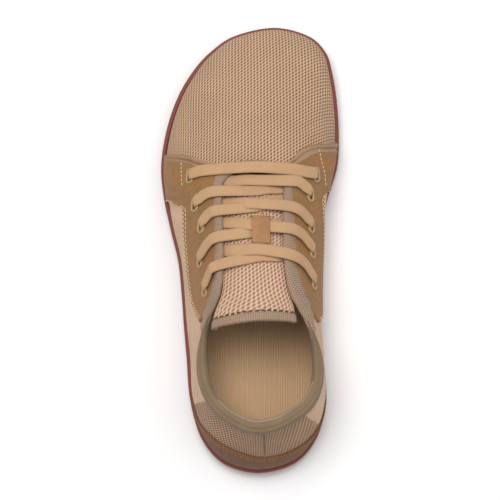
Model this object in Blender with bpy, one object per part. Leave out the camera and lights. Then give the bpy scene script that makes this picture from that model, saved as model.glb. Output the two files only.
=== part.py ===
"""Barefoot shoe for the left foot: a rubber cup sole, a lasted upper with overlays, a tongue and flat laces.

The toe points along +Y, the inner (medial) side of the foot is +X, and the sole stands on z = 0.
"""
import math
from collections import namedtuple

import bmesh
import bpy
import numpy as np

# Driving dimensions, in metres
OUTSOLE_LENGTH = 0.275
BALL_WIDTH = 0.110
INSTEP_HEIGHT = 0.0755
HEEL_HEIGHT = 0.070

# Sole
SOLE_WALL = 0.0030
SOLE_BASE = 0.0030
TREAD_DEPTH = 0.0020
TOE_SPRING = 0.0080
EDGE_ROUND = 0.0040
BORDER_WIDTH = 0.0046
LUG_PITCH = 0.01505
LUG_GROOVE = 0.0034
TREAD_TURN = math.radians(3.0)
TOE_RIBS = 5
TOE_RIB_GROOVE = 0.0022
HEEL_RIBS = 6
HEEL_RIB_GROOVE = 0.0032

# Upper and what is sewn to it
UPPER_WALL = 0.0020
INSOLE_THICKNESS = 0.0040
OVERLAY_THICKNESS = 0.0012
COUNTER_THICKNESS = 0.0012
EDGE_STRIP_THICKNESS = 0.0022
BINDING_THICKNESS = 0.0010
COLLAR_PAD = 0.0030
COLLAR_CREST = 0.0036
TONGUE_THICKNESS = 0.0032
TONGUE_CROWN = 0.0035
TONGUE_BINDING_WIDTH = 0.0050
TONGUE_BINDING_SWELL = 0.0006

# Lacing
LACE_WIDTH = 0.0080
LACE_THICKNESS = 0.0015
EYELET_LENGTH = 0.0092
EYELET_WIDTH = 0.0056
EYELET_RIM = 0.0013
EYELET_HEIGHT = 0.0011
KEEPER_WIDTH = 0.0100
KEEPER_THICKNESS = 0.0012

CLEARANCE = 0.0003

HALF_LENGTH = OUTSOLE_LENGTH / 2
HALF_WIDTH = BALL_WIDTH / 2
SPRING_START = 0.44 * HALF_LENGTH
COLUMNS = 60

# The sole's outline, heel to toe: shares of the half length, the half width (twice) and the heel height
Sole = namedtuple("Sole", "along lateral medial rim")
SOLE_SECTIONS = (
    Sole(-1.000, 0.089, 0.089, 0.200),   # heel end
    Sole(-0.980, -0.180, 0.371, 0.200),  # heel back
    Sole(-0.935, -0.373, 0.573, 0.194),  # heel corner
    Sole(-0.858, -0.524, 0.722, 0.189),  # heel side
    Sole(-0.764, -0.615, 0.811, 0.180),  # heel front
    Sole(-0.640, -0.678, 0.849, 0.171),  # ankle back
    Sole(-0.495, -0.705, 0.820, 0.164),  # ankle
    Sole(-0.349, -0.738, 0.775, 0.157),  # ankle front
    Sole(-0.204, -0.765, 0.736, 0.157),  # throat top
    Sole(-0.058, -0.804, 0.731, 0.157),  # waist
    Sole(0.087, -0.891, 0.787, 0.157),   # waist front
    Sole(0.233, -0.969, 0.878, 0.157),   # ball back
    Sole(0.378, -1.000, 0.985, 0.163),   # ball
    Sole(0.538, -0.940, 1.000, 0.174),   # toe root
    Sole(0.684, -0.818, 0.975, 0.189),   # toes back
    Sole(0.800, -0.651, 0.927, 0.203),   # toes
    Sole(0.887, -0.458, 0.858, 0.217),   # toe corner
    Sole(0.962, -0.180, 0.664, 0.234),   # toe front
    Sole(1.000, 0.273, 0.273, 0.243),    # toe tip
)

# The wall of the upper over each section: its top edge (along, across, height), how far it rises straight,
# its bulge over the sole's edge, and the reach, belly and drop of the curve in to the top edge.
# Along is a share of the half length, across, bulge and belly of the half width, and height, rise and drop
# of the heel height up to the ankle and of the instep height in front of it.
Wall = namedtuple("Wall", "along across height rise bulge reach belly drop")
ANKLE_SECTION = 6
LATERAL_WALLS = (
    Wall(-0.829, 0.091, 1.000, 0.257, 0.018, 0.20, 0.000, 0.286),
    Wall(-0.818, -0.064, 0.997, 0.257, 0.018, 0.20, 0.000, 0.286),
    Wall(-0.785, -0.218, 0.979, 0.257, 0.027, 0.22, 0.000, 0.271),
    Wall(-0.735, -0.364, 0.950, 0.257, 0.036, 0.25, 0.005, 0.257),
    Wall(-0.669, -0.473, 0.907, 0.243, 0.036, 0.28, 0.009, 0.257),
    Wall(-0.582, -0.536, 0.864, 0.229, 0.036, 0.30, 0.009, 0.243),
    Wall(-0.473, -0.545, 0.857, 0.229, 0.036, 0.32, 0.009, 0.243),
    Wall(-0.364, -0.500, 0.861, 0.225, 0.036, 0.35, 0.009, 0.225),
    Wall(-0.247, -0.391, 1.000, 0.252, 0.036, 0.42, 0.009, 0.225),
    Wall(-0.109, -0.327, 0.967, 0.265, 0.036, 0.48, 0.011, 0.199),
    Wall(0.022, -0.324, 0.894, 0.252, 0.036, 0.50, 0.011, 0.159),
    Wall(0.145, -0.324, 0.808, 0.225, 0.027, 0.50, 0.009, 0.119),
    Wall(0.247, -0.309, 0.735, 0.199, 0.022, 0.50, 0.000, 0.079),
    Wall(0.298, -0.236, 0.722, 0.185, 0.018, 0.48, 0.000, 0.093),
    Wall(0.315, -0.164, 0.719, 0.185, 0.018, 0.46, 0.000, 0.106),
    Wall(0.321, -0.100, 0.718, 0.185, 0.015, 0.45, 0.000, 0.119),
    Wall(0.324, -0.045, 0.718, 0.199, 0.015, 0.45, 0.000, 0.126),
    Wall(0.326, 0.000, 0.718, 0.212, 0.015, 0.45, 0.000, 0.132),
    Wall(0.327, 0.036, 0.718, 0.225, 0.015, 0.45, 0.000, 0.132),
)
MEDIAL_WALLS = (
    Wall(-0.829, 0.091, 1.000, 0.257, 0.018, 0.20, 0.000, 0.286),
    Wall(-0.818, 0.255, 0.997, 0.257, 0.018, 0.20, 0.000, 0.286),
    Wall(-0.785, 0.427, 0.979, 0.257, 0.036, 0.25, 0.009, 0.271),
    Wall(-0.735, 0.600, 0.950, 0.257, 0.055, 0.35, 0.018, 0.271),
    Wall(-0.669, 0.709, 0.914, 0.243, 0.082, 0.50, 0.033, 0.271),
    Wall(-0.582, 0.755, 0.879, 0.229, 0.100, 0.60, 0.047, 0.271),
    Wall(-0.473, 0.727, 0.886, 0.214, 0.109, 0.70, 0.055, 0.286),
    Wall(-0.364, 0.618, 0.907, 0.185, 0.136, 0.80, 0.082, 0.291),
    Wall(-0.247, 0.473, 1.000, 0.172, 0.173, 0.85, 0.118, 0.344),
    Wall(-0.109, 0.409, 0.967, 0.159, 0.200, 0.85, 0.136, 0.358),
    Wall(0.022, 0.400, 0.894, 0.172, 0.173, 0.80, 0.091, 0.291),
    Wall(0.145, 0.391, 0.808, 0.212, 0.109, 0.70, 0.036, 0.185),
    Wall(0.247, 0.373, 0.735, 0.238, 0.036, 0.55, 0.000, 0.093),
    Wall(0.295, 0.309, 0.722, 0.238, 0.022, 0.50, 0.000, 0.079),
    Wall(0.313, 0.236, 0.719, 0.238, 0.018, 0.48, 0.000, 0.093),
    Wall(0.320, 0.173, 0.718, 0.238, 0.018, 0.46, 0.000, 0.106),
    Wall(0.324, 0.118, 0.718, 0.238, 0.015, 0.45, 0.000, 0.119),
    Wall(0.326, 0.073, 0.718, 0.238, 0.015, 0.45, 0.000, 0.132),
    Wall(0.327, 0.036, 0.718, 0.225, 0.015, 0.45, 0.000, 0.132),
)
TOE_STATION = len(SOLE_SECTIONS) - 1
STATIONS = 2 * TOE_STATION

# The overlays. A station counts sections from the heel end: 0 to 18 along the lateral side, and 18 to 36
# back along the medial side. Up is 0 at the sole's rim and 1 at the top edge.
Seam = namedtuple("Seam", "inner_station inner_up outer_station outer_up")
EYESTAY_LATERAL = (
    Seam(7.40, 0.880, 7.20, 0.78),
    Seam(7.75, 0.880, 7.45, 0.62),
    Seam(8.20, 0.885, 7.90, 0.47),
    Seam(8.70, 0.885, 8.50, 0.43),
    Seam(9.30, 0.885, 9.30, 0.42),
    Seam(9.90, 0.885, 10.00, 0.44),
    Seam(10.40, 0.885, 10.55, 0.45),
    Seam(10.70, 0.885, 10.85, 0.20),
    Seam(10.95, 0.885, 10.95, 0.04),
    Seam(11.30, 0.885, 11.30, 0.04),
    Seam(11.70, 0.885, 11.75, 0.04),
    Seam(12.10, 0.885, 12.27, 0.04),
    Seam(12.40, 0.885, 12.62, 0.30),
    Seam(12.80, 0.885, 12.90, 0.55),
    Seam(13.10, 0.885, 13.05, 0.75),
)
EYESTAY_MEDIAL = (
    Seam(7.40, 0.880, 7.20, 0.78),
    Seam(7.75, 0.880, 7.45, 0.62),
    Seam(8.20, 0.885, 7.90, 0.50),
    Seam(8.70, 0.885, 8.50, 0.48),
    Seam(9.30, 0.885, 9.30, 0.48),
    Seam(9.90, 0.885, 9.90, 0.48),
    Seam(10.35, 0.885, 10.40, 0.45),
    Seam(10.60, 0.885, 10.66, 0.20),
    Seam(10.85, 0.885, 10.78, 0.04),
    Seam(11.30, 0.885, 11.30, 0.04),
    Seam(11.75, 0.885, 11.95, 0.04),
    Seam(12.15, 0.885, 12.50, 0.04),
    Seam(12.45, 0.885, 12.75, 0.30),
    Seam(12.82, 0.885, 12.98, 0.55),
    Seam(13.10, 0.885, 13.08, 0.75),
)
EDGE_STRIP_LATERAL = (
    Seam(12.37, 0.04, 12.62, 0.04),
    Seam(12.72, 0.30, 13.02, 0.28),
    Seam(12.99, 0.55, 13.40, 0.52),
    Seam(13.14, 0.75, 13.80, 0.70),
    Seam(13.24, 0.88, 14.60, 0.84),
)
EDGE_STRIP_MEDIAL = (
    Seam(12.60, 0.04, 12.85, 0.04),
    Seam(12.86, 0.30, 13.16, 0.28),
    Seam(13.08, 0.55, 13.48, 0.52),
    Seam(13.18, 0.75, 13.83, 0.70),
    Seam(13.24, 0.88, 14.60, 0.84),
)
HEEL_COUNTER = (
    Seam(-5.6, 0.07, -5.6, 0.03),
    Seam(-5.0, 0.20, -5.0, 0.03),
    Seam(-4.0, 0.36, -4.0, 0.03),
    Seam(-3.0, 0.42, -3.0, 0.03),
    Seam(-2.0, 0.44, -2.0, 0.03),
    Seam(-1.0, 0.45, -1.0, 0.03),
    Seam(0.0, 0.45, 0.0, 0.03),
    Seam(1.0, 0.43, 1.0, 0.03),
    Seam(2.0, 0.40, 2.0, 0.03),
    Seam(3.0, 0.33, 3.0, 0.03),
    Seam(4.0, 0.20, 4.0, 0.03),
    Seam(4.7, 0.07, 4.7, 0.03),
)
COLLAR_END = 7.2
BINDING_UP = 0.905
BINDING_STATIONS = (COLLAR_END + 0.05, 7.75, 8.20, 8.70, 9.30, 9.90, 10.60, 11.30, 12.10, 12.80, 13.50, 14.60,
                    16.20)
THROAT_BINDING = tuple(
    Seam(s, 1.05, s, BINDING_UP)
    for s in (*BINDING_STATIONS, TOE_STATION, *(STATIONS - b for b in reversed(BINDING_STATIONS)))
)

# Profile of the collar roll at the top edge, as shares of its crest: outwards and up
COLLAR_ROLL = ((0.36, 0.10), (0.47, 0.50), (0.20, 0.88), (-0.33, 1.00), (-0.90, 0.83), (-1.30, 0.36))
COLLAR_DEPTHS = (0.87, 0.72)

# Rows of the tongue over the throat: along, across and height of six points from side to side. Along is
# a share of the half length, across of the half width, height of the instep height.
TONGUE_TOP = (
    ((-0.364, -0.350, 0.935), (-0.378, -0.322, 0.990), (-0.382, -0.082, 1.066),
     (-0.378, 0.218, 1.073), (-0.362, 0.425, 1.005), (-0.352, 0.455, 0.950)),
    ((-0.309, -0.350, 0.950), (-0.316, -0.322, 0.990), (-0.318, -0.073, 1.040),
     (-0.314, 0.200, 1.046), (-0.309, 0.420, 1.010), (-0.305, 0.450, 0.970)),
)
TONGUE_FIRST, TONGUE_LAST = 8.0, 13.5
TONGUE_TUCKS = ((8.0, 0.03), (9.0, 0.10), (13.5, 0.15))
TONGUE_GAPS = ((8.0, 0.0019), (8.5, 0.0015), (9.5, 0.0010))
TONGUE_CROWNS = ((8.0, 1.0), (11.5, 1.0), (12.5, 0.5), (13.5, 0.0))

EYELETS_LATERAL = ((0.291, -0.669), (0.156, -0.602), (0.057, -0.542), (-0.095, -0.545), (-0.223, -0.489))
EYELETS_MEDIAL = ((0.308, 0.724), (0.204, 0.660), (0.060, 0.669), (-0.060, 0.669), (-0.191, 0.676))

# A lace crossing: sections where its two straps leave the throat's edges, cross over the tongue and pass
# over the far edges. The first strap runs up to the medial side, on top; the second to the lateral side.
Crossing = namedtuple("Crossing", "medial_start medial_middle medial_edge lateral_start lateral_middle lateral_edge")
CROSSINGS = (
    Crossing(12.20, 12.05, 12.00, 11.85, 11.65, 11.48),
    Crossing(11.10, 11.00, 10.85, 11.25, 10.93, 10.68),
    Crossing(10.35, 10.15, 10.05, 10.30, 10.00, 9.75),
    Crossing(9.36, 9.35, 9.15, 9.20, 9.15, 8.80),
)
LACE_GAP = 0.0008
BAR_CORNER = 13.15
KEEPER_SECTIONS = (10.60, 10.52, 10.40, 10.05, 9.72)
KEEPER_ACROSS = 0.575


def periodic_curve(values, where):
    """Smooth closed curve through evenly numbered rows, read at the given row numbers."""
    count = len(values)
    base = np.floor(where).astype(int)
    t = (where - base)[:, None]
    before, start, end, after = (values[(base + step) % count] for step in (-1, 0, 1, 2))
    return 0.5 * (2 * start + (end - before) * t + (2 * before - 5 * start + 4 * end - after) * t ** 2
                  + (3 * start - before - 3 * end + after) * t ** 3)


def open_curve(values, where):
    """Smooth open curve through evenly numbered rows, read at the given row numbers."""
    values = np.asarray(values, float)
    padded = np.vstack([2 * values[0] - values[1], values, 2 * values[-1] - values[-2]])
    where = np.clip(np.asarray(where, float), 0, len(values) - 1)
    base = np.minimum(np.floor(where).astype(int), len(values) - 2)
    t = (where - base)[:, None]
    before, start, end, after = (padded[base + step] for step in range(4))
    return 0.5 * (2 * start + (end - before) * t + (2 * before - 5 * start + 4 * end - after) * t ** 2
                  + (3 * start - before - 3 * end + after) * t ** 3)


def unit(vectors):
    """Vectors of length one."""
    return vectors / np.linalg.norm(vectors, axis=-1, keepdims=True)


def station_row(section, medial):
    """Sizes in metres of one side of a section: the sole's edge, then the upper's wall."""
    sole = SOLE_SECTIONS[section]
    wall = (MEDIAL_WALLS if medial else LATERAL_WALLS)[section]
    tall = HEEL_HEIGHT if section <= ANKLE_SECTION else INSTEP_HEIGHT
    return (
        (sole.medial if medial else sole.lateral) * HALF_WIDTH, sole.along * HALF_LENGTH,
        sole.rim * HEEL_HEIGHT,
        wall.across * HALF_WIDTH, wall.along * HALF_LENGTH, wall.height * tall,
        wall.rise * tall, wall.bulge * HALF_WIDTH, wall.reach, wall.belly * HALF_WIDTH, wall.drop * tall,
    )


LAST = np.array([station_row(s, False) for s in range(TOE_STATION + 1)]
                + [station_row(s, True) for s in range(TOE_STATION - 1, 0, -1)])


def spring(y):
    """Height of the sole's underside over the ground."""
    share = np.clip((np.asarray(y) - SPRING_START) / (HALF_LENGTH - SPRING_START), 0, None)
    return TOE_SPRING * share ** 2


def floor_height(y):
    """Height of the sole's inner floor."""
    return spring(y) + TREAD_DEPTH + SOLE_BASE


def outward(station):
    """Level unit vector that points away from the sole's edge."""
    step = 0.02
    run = (periodic_curve(LAST, station + step) - periodic_curve(LAST, station - step))[:, :2]
    run /= np.linalg.norm(run, axis=1)[:, None]
    return np.column_stack([-run[:, 1], run[:, 0]])


def outline(station, inset):
    """Points of the sole's outline, moved inwards by inset."""
    station = np.asarray(station, float)
    return periodic_curve(LAST, station)[:, :2] - outward(station) * np.reshape(inset, (-1, 1))


def wall_points(station, up):
    """Points on the outside of the upper; up runs from -1 at its foot to 0 at the rim and 1 at the edge."""
    row = periodic_curve(LAST, station)
    foot = outline(station, SOLE_WALL + CLEARANCE)
    normal = outward(station)
    edge, edge_z, rim = row[:, 3:5], row[:, 5], row[:, 2]
    rise, bulge, reach, belly, drop = row[:, 6], row[:, 7:8], row[:, 8:9], row[:, 9:10], row[:, 10]
    level = (foot, foot + normal * bulge, edge + (foot - edge) * reach + normal * belly, edge)
    height = (rim, rim + rise, edge_z - drop, edge_z)
    t = np.clip(up, 0, 1)
    weights = ((1 - t) ** 3, 3 * t * (1 - t) ** 2, 3 * t ** 2 * (1 - t), t ** 3)
    plan = sum(w[:, None] * p for w, p in zip(weights, level))
    z = sum(w * h for w, h in zip(weights, height))
    z = np.where(up < 0, rim + up * (rim - floor_height(foot[:, 1]) - CLEARANCE), z)
    past = 3 * np.clip(up - 1, 0, None)
    plan = plan + past[:, None] * (level[3] - level[2])
    return np.column_stack([plan, z + past * drop])


def wall_normals(station, up):
    """Unit vectors that point out of the upper."""
    step = 0.01
    low = np.where(up < 0, np.maximum(up - step, -1), np.maximum(up - step, 0))
    high = np.where(up < 0, np.minimum(up + step, 0), up + step)
    rising = wall_points(station, high) - wall_points(station, low)
    running = wall_points(station + step, up) - wall_points(station - step, up)
    return unit(np.cross(rising, running))


def upper(station, up, lift=0.0):
    """Points at a distance, lift, from the outside of the upper."""
    station, up = np.broadcast_arrays(np.asarray(station, float), np.asarray(up, float))
    shape = station.shape
    station, up = station.ravel(), up.ravel()
    lift = np.broadcast_to(lift, shape).reshape(-1, 1)
    points = wall_points(station, up) + wall_normals(station, up) * lift
    return points.reshape(shape + (3,))


def find(along, across):
    """Station and up of the point of the upper that lies over a plan position, given as shares."""
    target = np.array([across * HALF_WIDTH, along * HALF_LENGTH])
    low, high = (6.0, 14.0) if across < 0 else (STATIONS - 14.0, STATIONS - 6.0)
    centre, span = np.array([(low + high) / 2, 0.7]), np.array([(high - low) / 2, 0.3])
    for _ in range(6):
        station, up = np.meshgrid(np.linspace(centre[0] - span[0], centre[0] + span[0], 21),
                                  np.linspace(centre[1] - span[1], min(centre[1] + span[1], 1.0), 21))
        away = np.linalg.norm(upper(station, up)[..., :2] - target, axis=-1)
        best = np.unravel_index(np.argmin(away), away.shape)
        centre, span = np.array([station[best], up[best]]), span * 0.2
    return centre


def material(name, colour, roughness, metallic=0.0):
    """Plain Principled material; the colour is linear."""
    made = bpy.data.materials.new(name)
    made.use_nodes = True
    shader = made.node_tree.nodes["Principled BSDF"]
    shader.inputs["Base Color"].default_value = (*colour, 1)
    shader.inputs["Roughness"].default_value = roughness
    shader.inputs["Metallic"].default_value = metallic
    return made


def add_object(name, mesh, finish):
    """Link a mesh to the scene under a plain name."""
    obj = bpy.data.objects.new(name, mesh)
    bpy.context.scene.collection.objects.link(obj)
    if finish:
        mesh.materials.append(finish)
    return obj


def build_mesh(name, verts, faces, finish=None, merge_flat=False):
    """Object from points and faces, with its faces turned outwards."""
    work = bmesh.new()
    made = [work.verts.new(v) for v in np.asarray(verts).reshape(-1, 3)]
    for face in faces:
        work.faces.new([made[i] for i in face])
    bmesh.ops.recalc_face_normals(work, faces=work.faces)
    if merge_flat:
        flat = math.radians(0.2)
        bmesh.ops.dissolve_limit(work, angle_limit=flat, verts=work.verts, edges=work.edges)
    mesh = bpy.data.meshes.new(name)
    work.to_mesh(mesh)
    work.free()
    mesh.shade_smooth()
    mesh.set_sharp_from_angle(angle=math.radians(40))
    return add_object(name, mesh, finish)


def shell(name, outer, inner, finish, closed=False):
    """Closed skin between two grids of points of the same size; closed joins the first and last column."""
    columns, rows = outer.shape[:2]
    verts = np.concatenate([outer.reshape(-1, 3), inner.reshape(-1, 3)])
    back = columns * rows
    last = columns if closed else columns - 1
    faces = []
    for i in range(last):
        j = (i + 1) % columns
        for k in range(rows - 1):
            a, b, c, d = i * rows + k, j * rows + k, j * rows + k + 1, i * rows + k + 1
            for face in ((a, b, c), (a, c, d)):
                faces.append(face)
                faces.append(tuple(back + corner for corner in reversed(face)))
        for k in (0, rows - 1):
            a, b = i * rows + k, j * rows + k
            faces.append((a, b, back + b, back + a) if k else (b, a, back + a, back + b))
    if not closed:
        for i in (0, columns - 1):
            for k in range(rows - 1):
                a, b = i * rows + k, i * rows + k + 1
                faces.append((a, b, back + b, back + a))
    return build_mesh(name, verts, faces, finish)


def loops(name, rings, finish, merge_flat=False):
    """Closed body from rings of points, first and last ring closed by strips across the shoe."""
    count = len(rings[0])
    faces = []
    for level in range(len(rings) - 1):
        for i in range(count):
            j = (i + 1) % count
            a, b = level * count, (level + 1) * count
            faces.append((a + i, a + j, b + j, b + i))
    for base in (0, (len(rings) - 1) * count):
        faces.append((base, base + 1, base + count - 1))
        faces.append((base + count // 2, base + count // 2 + 1, base + count // 2 - 1))
        for i in range(1, count // 2 - 1):
            faces.append((base + i, base + i + 1, base + count - i - 1, base + count - i))
    return build_mesh(name, np.concatenate(rings), faces, finish, merge_flat)


def cutter(obj):
    """Hide an object that only cuts others."""
    obj.hide_render = True
    obj.display_type = "WIRE"
    return obj


def cut(obj, tool, operation="DIFFERENCE", solver="EXACT"):
    """Boolean modifier with a cutter."""
    step = obj.modifiers.new(tool.name, "BOOLEAN")
    step.operation = operation
    step.solver = solver
    step.object = tool


def prisms(name, outlines, low, high):
    """Upright prisms over closed outlines, as one cutter."""
    verts, faces = [], []
    for points in outlines:
        base, count = len(verts), len(points)
        verts += [(x, y, z) for z in (low, high) for x, y in points]
        faces.append(tuple(base + i for i in range(count)))
        faces.append(tuple(base + count + i for i in range(count)))
        for i in range(count):
            j = (i + 1) % count
            faces.append((base + i, base + j, base + count + j, base + count + i))
    return cutter(build_mesh(name, verts, faces))


def inside(points, border):
    """Which points lie inside a closed outline."""
    x, y = points[:, 0], points[:, 1]
    found = np.zeros(len(points), bool)
    for (x1, y1), (x2, y2) in zip(border, np.roll(border, -1, axis=0)):
        crosses = (y1 > y) != (y2 > y)
        found ^= crosses & (x < (x2 - x1) * (y - y1) / (y2 - y1 + 1e-12) + x1)
    return found


# The tread: its field of lugs between two waved lines, and waved ribs in front and behind
Wave = namedtuple("Wave", "crest_across crest_along period slope height step_across step_along")
TOE_WAVE = Wave(0.196, 0.777, 0.464, 0.289, 0.0034, -0.049, 0.0365)
HEEL_WAVE = Wave(0.027, -0.612, 0.491, 0.503, 0.0046, 0.036, -0.0490)
Band = namedtuple("Band", "section lateral medial")
FIELD_BANDS = (
    Band(2.0, 0.150, 0.240), Band(4.0, 0.150, 0.220), Band(6.0, 0.150, 0.230), Band(8.0, 0.170, 0.200),
    Band(9.5, 0.180, 0.170), Band(11.0, 0.190, 0.110), Band(12.0, 0.120, 0.100), Band(14.0, 0.100, 0.090),
    Band(16.0, 0.100, 0.090),
)


def wave_along(wave, across, number=0.0):
    """The Y of a waved groove over the given X, for the groove of that number."""
    shift_x = number * wave.step_across * HALF_WIDTH
    shift_y = number * wave.step_along * HALF_LENGTH
    from_crest = across - wave.crest_across * HALF_WIDTH - shift_x
    turns = from_crest / (wave.period * HALF_WIDTH)
    line = wave.crest_along * HALF_LENGTH + shift_y + wave.slope * from_crest
    return line + wave.height * (np.cos(2 * math.pi * turns) - 1)


def field_outline():
    """Border of the lug field: smooth bands at the sides, waves at the toe and heel."""
    sections = np.array([band.section for band in FIELD_BANDS])
    places = np.arange(sections[0], sections[-1] + 0.01, 0.5)
    sides = []
    for medial in (False, True):
        widths = np.interp(places, sections, [band.medial if medial else band.lateral for band in FIELD_BANDS])
        stations = STATIONS - places if medial else places
        edge = outline(stations, widths * HALF_WIDTH)
        keep = ((edge[:, 1] > wave_along(HEEL_WAVE, edge[:, 0]))
                & (edge[:, 1] < wave_along(TOE_WAVE, edge[:, 0])))
        sides.append(edge[keep])
    lateral, medial = sides
    quarter = TOE_WAVE.period * HALF_WIDTH / 6
    front = np.arange(lateral[-1, 0] + quarter / 2, medial[-1, 0] - quarter / 2, quarter)
    back = np.arange(medial[0, 0] - quarter / 2, lateral[0, 0] + quarter / 2, -quarter)
    return np.vstack([
        lateral, np.column_stack([front, wave_along(TOE_WAVE, front)]),
        medial[::-1], np.column_stack([back, wave_along(HEEL_WAVE, back)]),
    ])


def tread_layer(name):
    """Body as deep as the tread, from under the sole up to the bottom of its grooves."""
    knots = [-1.3, SPRING_START / HALF_LENGTH, 0.56, 0.67, 0.78, 0.89, 1.0, 1.1]
    y = np.array(knots) * HALF_LENGTH
    reach = 1.3 * HALF_WIDTH
    top, under = spring(y) + TREAD_DEPTH, np.full(len(y), -TREAD_DEPTH)
    ring = np.vstack([np.column_stack([y, under]), np.column_stack([y, top])[::-1]])
    count = len(ring)
    verts = [(x, *p) for x in (-reach, reach) for p in ring]
    faces = [tuple(range(count)), tuple(range(count, 2 * count))]
    faces += [(i, (i + 1) % count, count + (i + 1) % count, count + i) for i in range(count)]
    return cutter(build_mesh(name, verts, faces))


def hexagon_centres(border):
    """Centres of the lugs: columns across the shoe, every second one moved by half a pitch."""
    column = LUG_PITCH * math.sqrt(3) / 2
    centres = []
    for i in range(-6, 7):
        for k in range(-9, 10):
            x, y = i * column, (k + 0.5 * (i % 2)) * LUG_PITCH
            centres.append((x * math.cos(TREAD_TURN) - y * math.sin(TREAD_TURN) - 0.058 * HALF_WIDTH,
                            x * math.sin(TREAD_TURN) + y * math.cos(TREAD_TURN) + 0.012 * HALF_LENGTH))
    centres = np.array(centres)
    radius = LUG_PITCH / 2
    near = np.zeros(len(centres), bool)
    for turn in np.arange(6) * math.pi / 3:
        near |= inside(centres + radius * np.array([math.cos(turn), math.sin(turn)]), border)
    return centres[near]


def rib_outline(wave, number, width, border):
    """Closed outline of one waved groove, as far as it stays inside the border."""
    step = wave.period * HALF_WIDTH / 5
    x = np.arange(-1.1 * HALF_WIDTH, 1.1 * HALF_WIDTH, step)
    y = wave_along(wave, x, number)
    keep = inside(np.column_stack([x, y]), border)
    if keep.sum() < 4:
        return None
    runs = np.split(np.flatnonzero(keep), np.flatnonzero(np.diff(np.flatnonzero(keep)) > 1) + 1)
    longest = max(runs, key=len)
    x, y = x[longest], y[longest]
    slope = np.gradient(y, x)
    across = np.column_stack([-slope, np.ones(len(x))]) / np.sqrt(1 + slope ** 2)[:, None]
    line = np.column_stack([x, y])
    return np.vstack([line + across * width / 2, (line - across * width / 2)[::-1]])


def add_outsole(finish):
    """Rubber cup: tread, rounded edge, side wall with a step, rim and inner floor."""
    station = np.arange(COLUMNS) * STATIONS / COLUMNS
    rim = periodic_curve(LAST, station)[:, 2]
    ground = spring(outline(station, 0)[:, 1])
    step = 0.0005

    def ring(inset, height):
        return np.column_stack([outline(station, inset), height])

    rings = [
        ring(EDGE_ROUND, ground),
        ring(EDGE_ROUND * 0.30, ground + EDGE_ROUND * 0.30),
        ring(step, ground + EDGE_ROUND),
        ring(0, rim - 2 * step),
        ring(2 * step, rim),
        ring(SOLE_WALL, rim - step),
        ring(SOLE_WALL, floor_height(outline(station, SOLE_WALL)[:, 1])),
    ]
    sole = loops("outsole", rings, finish, merge_flat=True)

    field = field_outline()
    tall = 0.6 * HEEL_HEIGHT
    lugs = []
    lug_radius = (LUG_PITCH - LUG_GROOVE) / math.sqrt(3)
    for cx, cy in hexagon_centres(field):
        corners = [TREAD_TURN + k * math.pi / 3 for k in range(6)]
        lugs.append([(cx + lug_radius * math.cos(a), cy + lug_radius * math.sin(a)) for a in corners])
    field_tool = tread_layer("tread_field_tool")
    cut(field_tool, prisms("tread_border_tool", [field], -tall, tall), "INTERSECT")
    cut(field_tool, prisms("tread_lug_tool", lugs, -tall, tall))
    cut(sole, field_tool)

    border = outline(station, BORDER_WIDTH)
    ribs = [rib_outline(TOE_WAVE, n + 0.9, TOE_RIB_GROOVE, border) for n in range(TOE_RIBS)]
    ribs += [rib_outline(HEEL_WAVE, n + 1.0, HEEL_RIB_GROOVE, border) for n in range(HEEL_RIBS)]
    rib_tool = tread_layer("tread_rib_tool")
    cut(rib_tool, prisms("tread_wave_tool", [r for r in ribs if r is not None], -tall, tall), "INTERSECT")
    cut(sole, rib_tool)


def add_insole(finish):
    """Flat footbed on the sole's floor, between the walls of the upper."""
    station = np.arange(COLUMNS) * STATIONS / COLUMNS
    inset = SOLE_WALL + UPPER_WALL + 2 * CLEARANCE
    edge = outline(station, inset)
    inner = outline(station, inset + INSOLE_THICKNESS)
    low = floor_height(edge[:, 1]) + CLEARANCE
    high = floor_height(inner[:, 1]) + CLEARANCE + INSOLE_THICKNESS
    rings = [
        np.column_stack([edge, low]),
        np.column_stack([edge, low + INSOLE_THICKNESS]),
        np.column_stack([inner, high]),
    ]
    loops("insole", rings, finish, merge_flat=True)


UP_LEVELS = np.array([-1, 0, 0.14, 0.28, 0.43, 0.58, 0.72, 0.87, 1.0])


def stadium(length, width, parts=4):
    """Outline with two straight sides and round ends, its length along the first axis."""
    radius = width / 2
    points = []
    for end in (1, -1):
        for k in range(parts):
            turn = math.pi * (k / (parts - 1) - 0.5)
            points.append((end * (length / 2 - radius + radius * math.cos(turn)),
                           end * radius * math.sin(turn)))
    return points


def eyelet_frame(along, across):
    """Place of an eyelet on the upper: its centre, its long direction, its cross direction and normal."""
    station, up = find(along, across)
    centre = upper(station, up)
    normal = wall_normals(np.array([station]), np.array([up]))[0]
    long_way = np.array([0, 1, 0]) - normal * normal[1]
    long_way /= np.linalg.norm(long_way)
    return centre, long_way, np.cross(normal, long_way), normal


def placed(frame, outline_points, height):
    """Points of a flat outline at a height over an eyelet's place."""
    centre, long_way, cross_way, normal = frame
    return np.array([centre + a * long_way + b * cross_way + height * normal for a, b in outline_points])


def add_upper(finish):
    """Hollow upper, open at the foot and the top, with a slot for each eyelet."""
    station = np.arange(COLUMNS) * STATIONS / COLUMNS
    grid_station, grid_up = np.meshgrid(station, UP_LEVELS, indexing="ij")
    outer = upper(grid_station, grid_up)
    inner = upper(grid_station, grid_up, -UPPER_WALL)
    inner[:, 0, 2] = outer[:, 0, 2]
    obj = shell("upper", outer, inner, finish, closed=True)
    slot_tool = slots_tool()
    cut(obj, slot_tool)
    return slot_tool


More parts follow.
